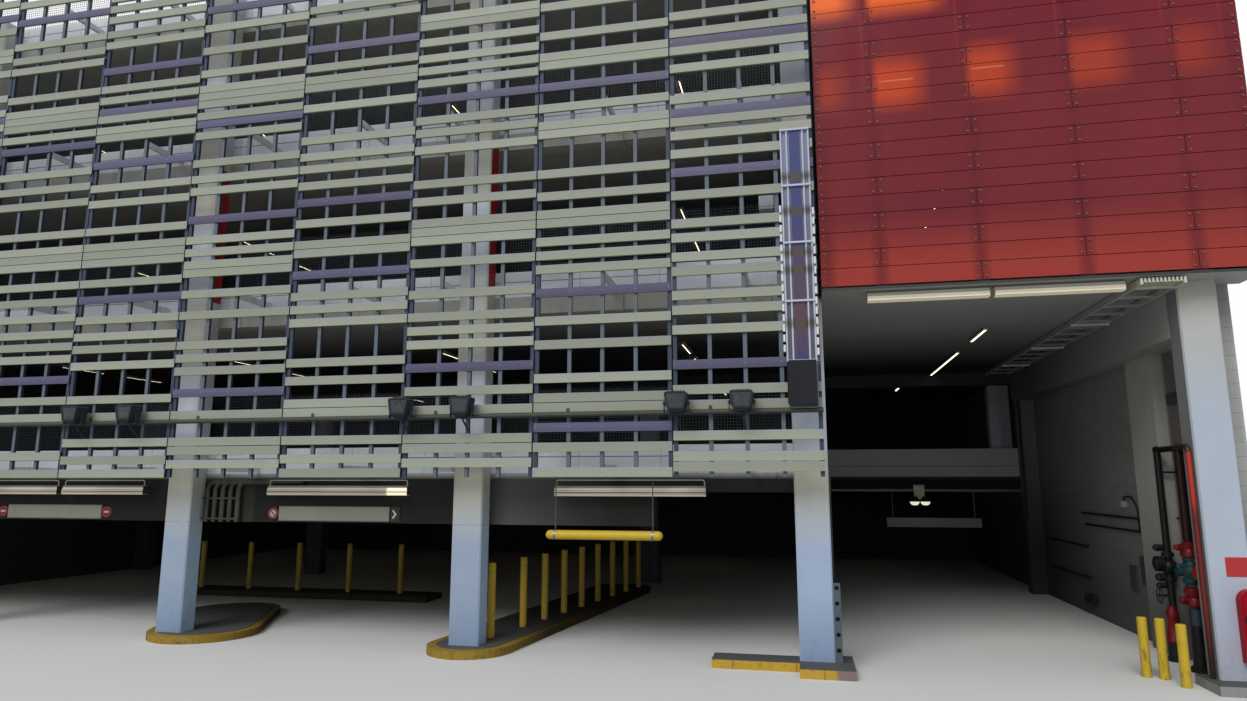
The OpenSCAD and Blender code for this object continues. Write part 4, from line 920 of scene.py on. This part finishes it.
# Lights: enamelled housings over long white louvres. The street lights hang on brackets,
# the pair under the glass on short rods; strips under the decks and twin spots are lit.
def lamp_colours(tree, x, y, z):
    pair = z.rise(5.26, 5.42).mix((0.80, 0.74, 0.60), (0.60, 0.59, 0.50))
    street = z.rise(2.435, 2.595).mix((0.86, 0.75, 0.56), (0.90, 0.88, 0.76))
    louvres = z.lines(0.045, 0.010, 2.475) * 0.55 | z.lines(0.045, 0.010, 5.30) * 0.5 * z.rise(4.0, 4.1)
    top = z.band(2.565, 2.64) | z.band(5.39, 5.50)
    return coated(pair, (z.fall(2.60, 2.70), street), (louvres, (0.16, 0.14, 0.10)),
                  (top * 0.75, (0.09, 0.085, 0.07)))


def lit_finish(name, glow, strength, lit):
    """Enamel that glows where lit gives 1."""
    finish = weathered(name, (0.6, 0.56, 0.46), (0.3, 0.27, 0.2), 0.4, 0.2, 0.12, paint=lamp_colours)
    shader = finish.node_tree.nodes["Principled BSDF"].inputs
    supply(shader["Emission Strength"], strength)
    supply(shader["Emission Color"], lit(finish.node_tree).mix((0, 0, 0), glow))
    return finish


def lit_below(tree):
    """The underside of the strips and of the pair under the glass, and the rims of the spots."""
    x, y, z = place_of(tree)
    down = facing_of(tree)[2].fall(-0.30, -0.10)
    strips = down * y.rise(-9.0, -8.8) * x.band(10.873, 10.917)
    reach = abs(abs(x - 10.48) - 0.13)
    lens = reach.rise(0.058, 0.066, 0.36, 0) * z.fall(2.215, 2.245)
    spots = y.rise(0.3, 0.4) * z.fall(3.0, 3.1) * lens
    return y.fall(-9.0, -8.8) * down * 0.10 | (strips | spots)


def lit_tube(tree):
    """A thin tube down the middle of each deck light."""
    x, y, z = place_of(tree)
    tubes = any_of(x.band(at - 0.026, at + 0.026, 0.003) for at in (-10.475, -5.6, -0.2, 5.2, 10.55))
    return tubes * facing_of(tree)[2].fall(-0.30, -0.10)


def lit_end(tree):
    """The last third of a metre of the fourth street light."""
    x, y, z = place_of(tree)
    return x.band(0.80, 1.20, 0.02) * z.band(2.44, 2.56) * 0.8


dress(lit_finish("street_lamps", (1.0, 0.93, 0.62), 0.9, lit_end), "hanging_lights")
dress(lit_finish("bay_lamps", (1.0, 0.86, 0.55), 2.6, lit_below), "ceiling_lights")
dress(lit_finish("deck_tubes", (1.0, 0.83, 0.52), 4.5, lit_tube), "deck_lights")

hung_low, hung_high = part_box("hanging_lights")
cradle_paint = weathered("cradle_paint", (0.46, 0.45, 0.38), (0.2, 0.19, 0.15), 0.45, 0.3, 0.2)
dark_trim = weathered("dark_trim", (0.05, 0.048, 0.042), (0.08, 0.075, 0.06), 0.5, 0.3, 0.2)
cradle_y, cradle_foot, cradle_top = hung_low.y + 0.06, hung_high.z - 0.01, first_deck - 0.115
# Each street light's middle and length
lamp_runs = ((-10.675, 2.36), (-6.715, 1.75), (-4.85, 1.75), (-0.145, 2.62), (4.92, 2.41))
for number, (middle, length) in enumerate(lamp_runs, 1):
    plate((middle - length / 2, hung_low.y - 0.004, hung_low.z + 0.052),
          (middle + length / 2, hung_low.y + 0.012, hung_low.z + 0.064), f"lamp_lip_{number}",
          dark_trim)
    for side, label in ((-1, "left"), (1, "right")):
        end = middle + side * length / 2
        near, far = sorted((end, end + side * 0.006))
        plate((near, hung_low.y + 0.01, hung_low.z + 0.004), (far, hung_low.y + 0.14, hung_low.z + 0.15),
              f"lamp_end_{number}_{label}", dark_trim)
    left, right = middle - length / 2 + 0.02, middle + length / 2 - 0.02
    bent_tube([(left, cradle_y, cradle_foot), (left, cradle_y, cradle_top), (right, cradle_y, cradle_top),
               (right, cradle_y, cradle_foot)], 0.009, f"lamp_cradle_{number}",
              cradle_paint, 0.04)

# Three raised lines along the face of each light under the glass
for number, start in enumerate((8.60, 10.34), 1):
    for rail in range(3):
        y, z = -9.422 + rail * 0.012, 5.26 + rail * 0.022
        plate((start + 0.01, y - 0.003, z + 0.006), (start + 1.66, y + 0.003, z + 0.010),
              f"bay_lamp_line_{number}_{rail + 1}", dark_trim, 0.001)


# Direction signs: grey enamelled panels with a thin frame and screws, a red ring plate
# with a white bar at each end, and a dark end block with a white chevron on the second.
sign_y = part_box("direction_signs")[0].y
sign_z = 2.12
sign_middles = (-6.05, -0.285)
ring_out = 1.16


def sign_colours(tree, x, y, z):
    up = z - sign_z
    edges = z.band(1.995, 2.012) | z.band(2.228, 2.245)
    body = (edges * 0.6).mix((0.30, 0.293, 0.246), (0.12, 0.117, 0.096))
    for middle, crossed in ((sign_middles[0] - ring_out, False), (sign_middles[0] + ring_out, False),
                            (sign_middles[1] - ring_out, True)):
        across = x - middle
        reach = worked("SQRT", across * across + up * up)
        face = reach.rise(0.086, 0.090).mix((0.27, 0.022, 0.022), (0.30, 0.12, 0.11))
        if crossed:
            pale = reach.fall(0.058, 0.062)
            slash = pale * (across + up).band(-0.014, 0.014) * up.band(-0.045, 0.045)
            face = coated(face, (pale, (0.50, 0.44, 0.40)), (slash, (0.10, 0.03, 0.03)))
        else:
            face = (across.band(-0.052, 0.052) * up.band(-0.016, 0.016)).mix(face, (0.62, 0.56, 0.52))
        body = reach.fall(0.094, 0.097).mix(body, face)
    chevron = y.rise(-8.7585, -8.7600).mix((0.040, 0.038, 0.034), (0.74, 0.72, 0.64))
    return x.rise(0.775, 0.778).mix(body, chevron)


dress(weathered("sign_grey", (0.25, 0.24, 0.2), (0.12, 0.115, 0.1), 0.5, 0.25, 0.15, 0.05, 0.03,
                paint=sign_colours), "direction_signs")
dress(weathered("board_grey", (0.27, 0.27, 0.26), (0.12, 0.12, 0.12), 0.5, 0.3, 0.25), "height_board")
places = [(middle + side * 1.0, sign_y - 0.002, sign_z + lift)
          for middle in sign_middles for side in (-1, 0, 1) for lift in (-0.1, 0.1)]
copies_of(turned_disc(10, 0.010, 0.006), places, "sign_rivets", steel_dull)


# Floodlights: die-cast housings that narrow towards the foot, with a glass lens sunk in the
# front, cooling fins along the top and a bent stem to the rail.
charcoal = weathered("charcoal_coat", (0.030, 0.033, 0.040), (0.05, 0.047, 0.043), 0.5, 0.3, 0.25, shine=0.15)
flood_places = (-9.7, -8.65, -4.63, -3.53, 1.49, 2.51, 5.83, 6.77)
flood_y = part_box("floodlights")[0].y
lens_glass, tree, shader = finish_of("flood_lens", (0.05, 0.06, 0.07), 0.12, shine=0.3)
supply(shader["Roughness"], noise_of(tree, 60, 2).rise(0.35, 0.65, 0.08, 0.35))
smoky = noise_of(tree, 12, 3).rise(0.3, 0.7)
supply(shader["Base Color"], smoky.mix((0.025, 0.03, 0.036), (0.060, 0.066, 0.074)))
housings = merged_copy("floodlights")
housings.data.materials.clear()
housings.data.materials.append(charcoal)
housings.data.materials.append(lens_glass)
for middle in flood_places:
    lower = lambda point: abs(point.x - middle) < 0.168 and point.z < 3.70
    faces_where(housings, lambda face: all(lower(housings.data.vertices[v].co) for v in face.vertices))
    bpy.ops.transform.resize(value=(0.74, 1, 1), center_override=(middle, -9.9, 3.64))
    bpy.ops.object.mode_set(mode="OBJECT")
    faces_where(housings, lambda face: face.normal.y < -0.8 and abs(face.center.x - middle) < 0.1
                and face.center.y < flood_y + 0.01)
    bpy.ops.mesh.inset(thickness=0.022, depth=0)
    bpy.ops.mesh.inset(thickness=0.006, depth=-0.012)
    housings.active_material_index = 1
    bpy.ops.object.material_slot_assign()
    bpy.ops.object.mode_set(mode="OBJECT")
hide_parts("floodlights")
finish_piece(housings, "floodlight_housings")

fin = block((0, 0, 0), (0.007, 0.15, 0.026))
faces_where(fin, lambda face: face.normal.z > 0.9)
bpy.ops.transform.resize(value=(0.5, 0.9, 1), center_override=(0, 0, 0.013))
places = [(middle + k * 0.036, flood_y + 0.13, 3.950) for middle in flood_places for k in range(-3, 4)]
copies_of(settled(fin), places, "flood_fins", charcoal)
for number, middle in enumerate(flood_places, 1):
    bent_tube([(middle, flood_y + 0.16, 3.70), (middle, flood_y + 0.16, 3.60),
               (middle + 0.03, flood_y + 0.25, 3.50), (middle + 0.03, front_plane + 0.01, 3.42)], 0.016,
              f"flood_stem_{number}", charcoal, 0.05)


# Upright sign: white tubes and rungs in front of the last louvre panel, with a strip in
# blue and plum tones down its middle, thin backing sheets, and small white clips beside it.
sign_low, sign_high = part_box("sign_frame")
sign_middle = (sign_low.x + sign_high.x) / 2


def sign_bands(z):
    """1 on the dark bands across the sign."""
    return any_of(z.band(height - 0.06, height + 0.06, 0.045) for height in (7.15, 6.62, 5.98, 5.72, 4.92))


def strip_colours(tree, x, y, z):
    middle = coated((0.105, 0.058, 0.085), (z.rise(5.3, 6.6), (0.045, 0.058, 0.175)),
                    (z.fall(4.4, 4.9), (0.06, 0.06, 0.15)))
    inner = x.band(sign_middle - 0.0755, sign_middle + 0.0755, 0.001)
    strip = inner * y.rise(sign_low.y + 0.020, sign_low.y + 0.025)
    bands = sign_bands(z) * strip.rise(0, 1, 0.62, 0.92)
    return coated((0.52, 0.55, 0.66), (strip, middle), (bands, (0.085, 0.070, 0.038)))


dress(weathered("white_tube", (0.62, 0.65, 0.74), (0.4, 0.4, 0.42), 0.35, 0.2, 0.12, 0.05, 0.03,
                paint=strip_colours), "sign_frame")


def backing_colours(tree, x, y, z):
    return coated((0.115, 0.110, 0.135), (z.rise(5.2, 7.4), (0.22, 0.25, 0.36)),
                  (sign_bands(z) * 0.92, (0.065, 0.055, 0.028)))


backing_finish = weathered("sign_backing", (0.2, 0.2, 0.25), (0.1, 0.1, 0.1), 0.4, 0.2, 0.15, 0.05, 0.03,
                           paint=backing_colours)
for side, label in ((-1, "left"), (1, "right")):
    near, far = sorted((sign_middle + side * 0.077, sign_middle + side * 0.189))
    plate((near, front_plane - 0.012, sign_low.z + 0.03), (far, front_plane - 0.006, sign_high.z - 0.02),
          f"sign_backing_{label}", backing_finish, 0.001)

clip = block((0, 0, 0), (0.032, 0.024, 0.105))
faces_where(clip, lambda face: face.normal.y < -0.9)
bpy.ops.mesh.inset(thickness=0.006, depth=0.004)
places = [(x, front_plane - 0.014, foot + k * 0.150)
          for x, foot in ((sign_low.x - 0.024, 4.56), (7.862, 4.50)) for k in range(15)]
clip_white = weathered("clip_white", (0.74, 0.76, 0.80), (0.4, 0.4, 0.4), 0.35, 0.25, 0.15)
copies_of(settled(clip), places, "sign_clips", clip_white)


def box_colours(tree, x, y, z):
    return x.band(7.826, 7.846).mix((0.004, 0.006, 0.009), (0.22, 0.24, 0.26))


dress(weathered("sign_box_coat", (0.016, 0.02, 0.026), (0.04, 0.04, 0.04), 0.45, 0.25, 0.2, 0.05, 0.03,
                paint=box_colours), "sign_box")


# Cable tray: a galvanised ladder on struts under the ceiling, with the cream ends of its
# comb towards the street.
def tray_colours(tree, x, y, z):
    # Painted shade: the tray darkens away from the street.
    return coated((0.46, 0.465, 0.44), (y.rise(-9.2, -3.0), (0.30, 0.30, 0.285)),
                  (z.fall(5.309, 5.311), (0.78, 0.79, 0.77)), (y.fall(-9.16, -9.14), (0.64, 0.62, 0.50)))


dress(weathered("tray_zinc", (0.34, 0.34, 0.32), (0.18, 0.18, 0.17), 0.4, 0.3, 0.2, 0.06, 0.03,
                metallic=0.1, paint=tray_colours), "cable_tray")


# Fire riser: three pipes off the block wall. The left one and the header are black, the
# middle one dark red with a red and teal valve, the one by the column bright red.
def riser_colours(tree, x, y, z):
    middle = y.band(-8.20, -7.60, 0.01)
    return coated((0.30, 0.016, 0.012),
                  (middle, (0.026, 0.008, 0.008)),
                  (middle * z.band(1.16, 1.58, 0.01), (0.016, 0.052, 0.058)),
                  (middle * z.fall(0.60, 0.64), (0.014, 0.013, 0.015)),
                  (middle * z.band(0.64, 0.88, 0.01), (0.05, 0.07, 0.11)),
                  (y.rise(-7.60, -7.56), (0.012, 0.011, 0.012)),
                  (z.rise(3.08, 3.10), (0.012, 0.010, 0.010)))


def drop_pipe_colours(tree, x, y, z):
    return coated((0.14, 0.014, 0.012), (z.rise(2.20, 2.40), (0.42, 0.034, 0.019)),
                  (z.fall(0.35, 1.05), (0.020, 0.008, 0.008)), (z.rise(3.055, 3.065), (0.022, 0.018, 0.016)))


dress(weathered("riser_paint", (0.2, 0.02, 0.02), (0.05, 0.035, 0.03), 0.4, 0.35, 0.3, 0.1, 0.06,
                paint=riser_colours), "fire_riser")
valve_black = weathered("valve_black", (0.012, 0.012, 0.013), (0.05, 0.04, 0.03), 0.4, 0.4, 0.3)
valve_teal = weathered("valve_teal", (0.012, 0.055, 0.062), (0.02, 0.03, 0.03), 0.4, 0.4, 0.4)
valve_red = weathered("valve_red", (0.17, 0.009, 0.014), (0.05, 0.012, 0.012), 0.35, 0.4, 0.3, shine=0.25)
strip_red = weathered("drop_pipe_red", (0.55, 0.035, 0.018), (0.14, 0.02, 0.015), 0.35, 0.5, 0.3, shine=0.3,
                      paint=drop_pipe_colours)
riser_x = wall_x - 0.25
# The y and the radius of the left, middle and right pipe
riser_lines = ((front_face + 1.84, 0.050), (front_face + 1.10, 0.060), (front_face + 0.80, 0.045))
drop_x = 12.75 - 0.048
bent_tube([(drop_x, -9.02, 0.01), (drop_x, -9.02, 3.14), (drop_x, -8.55, 3.14), (riser_x, -8.55, 3.14),
           (riser_x, -8.30, 3.14)], 0.032, "red_drop_pipe", strip_red, 0.09, 3)


def turned_body(profile, x, y, name, finish, sides=28):
    """A body of revolution on an upright line, from its lowest ring to its highest."""
    foot, girth = profile[0]
    bpy.ops.object.select_all(action="DESELECT")
    bpy.ops.mesh.primitive_circle_add(vertices=sides, radius=girth, fill_type="NGON", location=(x, y, foot))
    piece = bpy.context.object
    bpy.ops.object.transform_apply(location=True, rotation=True, scale=True)
    faces_where(piece, lambda face: True)
    for (low_z, wide), (high_z, next_wide) in zip(profile, profile[1:]):
        bpy.ops.mesh.extrude_region_move(TRANSFORM_OT_translate={"value": (0, 0, high_z - low_z)})
        wider = next_wide / wide
        bpy.ops.transform.resize(value=(wider, wider, 1), center_override=(x, y, high_z))
    bpy.ops.mesh.select_all(action="SELECT")
    bpy.ops.mesh.normals_make_consistent(inside=False)
    settled(piece)
    bpy.ops.object.shade_smooth_by_angle(angle=math.radians(35))
    finish_piece(piece, name, finish)


left_y, middle_y = riser_lines[0][0], riser_lines[1][0]
turned_body([(1.565, 0.085), (1.60, 0.115), (1.66, 0.115), (1.70, 0.095), (1.76, 0.105), (1.80, 0.065)],
            riser_x, middle_y, "valve_cap", valve_red)
turned_body([(1.205, 0.095), (1.235, 0.118), (1.275, 0.118), (1.29, 0.100), (1.36, 0.100), (1.375, 0.118),
             (1.42, 0.118), (1.435, 0.100), (1.49, 0.100), (1.53, 0.080)],
            riser_x, middle_y, "valve_body", valve_teal)
turned_body([(0.875, 0.075), (0.915, 0.108), (0.99, 0.108), (1.02, 0.090), (1.08, 0.120), (1.15, 0.120),
             (1.17, 0.085)], riser_x, middle_y, "valve_seat", valve_red)
turned_body([(0.28, 0.108), (0.33, 0.108), (0.36, 0.095), (0.58, 0.070), (0.64, 0.085), (0.70, 0.085),
             (0.76, 0.058), (0.80, 0.055)], riser_x - 0.02, left_y, "red_cone", valve_red)
turned_body([(0.0, 0.125), (0.05, 0.125), (0.07, 0.105), (0.27, 0.100), (0.285, 0.085)],
            riser_x - 0.02, left_y, "cone_foot", valve_black)
turned_body([(0.0, 0.135), (0.06, 0.135), (0.09, 0.100), (0.40, 0.085), (0.60, 0.070)],
            riser_x, middle_y, "riser_foot", valve_black)

places = []
for line, radius in riser_lines:
    for z in (0.024, 1.176, 1.200, 1.560, 1.584):
        for k in range(8):
            turn = math.radians(45 * k + 22.5)
            reach = radius + 0.022
            places.append((riser_x + reach * math.cos(turn), line + reach * math.sin(turn), z))
copies_of(turned_disc(6, 0.008, 0.012, "z", 0.25), places, "riser_bolts", valve_black)

# Gearbox of the left valve: a round cast housing with a raised hub. Cast bosses stand out
# of both valves towards the lane.
gear = drum(24, 0.115, 0.10, "x", (riser_x - 0.13, left_y, 1.42))
faces_where(gear, lambda face: abs(face.normal.z) > 0.9)
bpy.ops.mesh.inset(thickness=0.03, depth=0)
bpy.ops.mesh.inset(thickness=0.012, depth=0.018)
finish_piece(settled(gear), "valve_gearbox", valve_black)
bosses = ((left_y, 1.22, 0.060, valve_black), (left_y, 1.66, 0.052, valve_black),
          (left_y, 1.10, 0.045, valve_black), (middle_y, 1.72, 0.045, valve_red),
          (middle_y, 1.45, 0.040, valve_teal), (middle_y, 0.98, 0.055, valve_red))
for number, (y, z, radius, paint) in enumerate(bosses, 1):
    boss = drum(16, radius, 0.10, "x", (riser_x - 0.11, y, z))
    bpy.ops.object.transform_apply(location=True, rotation=True, scale=True)
    faces_where(boss, lambda face: face.normal.x < -0.9)
    bpy.ops.mesh.extrude_region_move(TRANSFORM_OT_translate={"value": (-0.03, 0, 0)})
    bpy.ops.transform.resize(value=(1, 0.6, 0.6), center_override=(riser_x - 0.19, y, z))
    finish_piece(settled(boss), f"valve_boss_{number}", paint)


# Twin spot under the low wall of the bay: a pressed glass bowl hangs in each round lamp and
# throws its light down, so that only its lower half shines.
bowl_glass, tree, shader = finish_of("spot_bowl", (0.72, 0.72, 0.60), 0.25)
supply(shader["Emission Color"], (1.0, 0.96, 0.72))
supply(shader["Emission Strength"], 0.75)
for label, x in (("left", 10.35), ("right", 10.61)):
    turned_body([(2.080, 0.040), (2.096, 0.078), (2.130, 0.106), (2.170, 0.116)], x, 0.50,
                f"{label}_spot_bowl", bowl_glass, 24)
    turned_body([(2.171, 0.121), (2.185, 0.124), (2.215, 0.118), (2.300, 0.060)], x, 0.50,
                f"{label}_spot_shade", valve_black, 24)


# Hose cabinet and bare red plate on the street face of the last column: pressed sheet with
# a catch; the plate is plain enamel held by four screws.
dress(weathered("cabinet_red", (0.33, 0.006, 0.014), (0.12, 0.01, 0.012), 0.35, 0.25, 0.12, 0.05, 0.03,
                shine=0.08), "hose_cabinet")
plate_red = weathered("plate_red", (0.46, 0.040, 0.045), (0.25, 0.08, 0.08), 0.4, 0.2, 0.12, 0.05, 0.02)
plate((12.96, front_face - 0.004, 1.43), (13.235, front_face, 1.68), "bare_red_plate", plate_red,
      0.001, 0.012, 0.001)
places = [(x, front_face - 0.005, z) for x in (12.975, 13.22) for z in (1.445, 1.665)]
copies_of(turned_disc(8, 0.006, 0.004), places, "plate_screws", steel_dull)
plate((13.055, -9.2465, 0.86), (13.080, -9.2335, 0.96), "cabinet_catch", valve_black)


# Guard post: perforated square tube, painted a dull blue grey and dirty at its foot, with a
# black strip behind its holes as painted shade inside the tube.
dress(weathered("guard_post_paint", (0.085, 0.110, 0.130), (0.12, 0.12, 0.12), 0.5, 0.45, 0.25), "guard_post")
# Painted shade: a black plate inside the tube behind its holes.
plate((7.955, -9.034, 0.15), (8.045, -9.028, 1.20), "guard_post_shade_plate", valve_black, 0.001)


# Equipment box: a small pale box of pressed sheet with a raised lid, which stands on the
# deck behind the louvres and shows between two slats.
box_white = weathered("pale_box", (0.82, 0.88, 0.94), (0.3, 0.32, 0.34), 0.45, 0.2, 0.1, 0.05, 0.03)
plate((7.03, deck_front + 0.15, 7.06), (7.28, deck_front + 0.35, 7.30), "pale_equipment_box",
      box_white, 0.008, 0.02, 0.006)
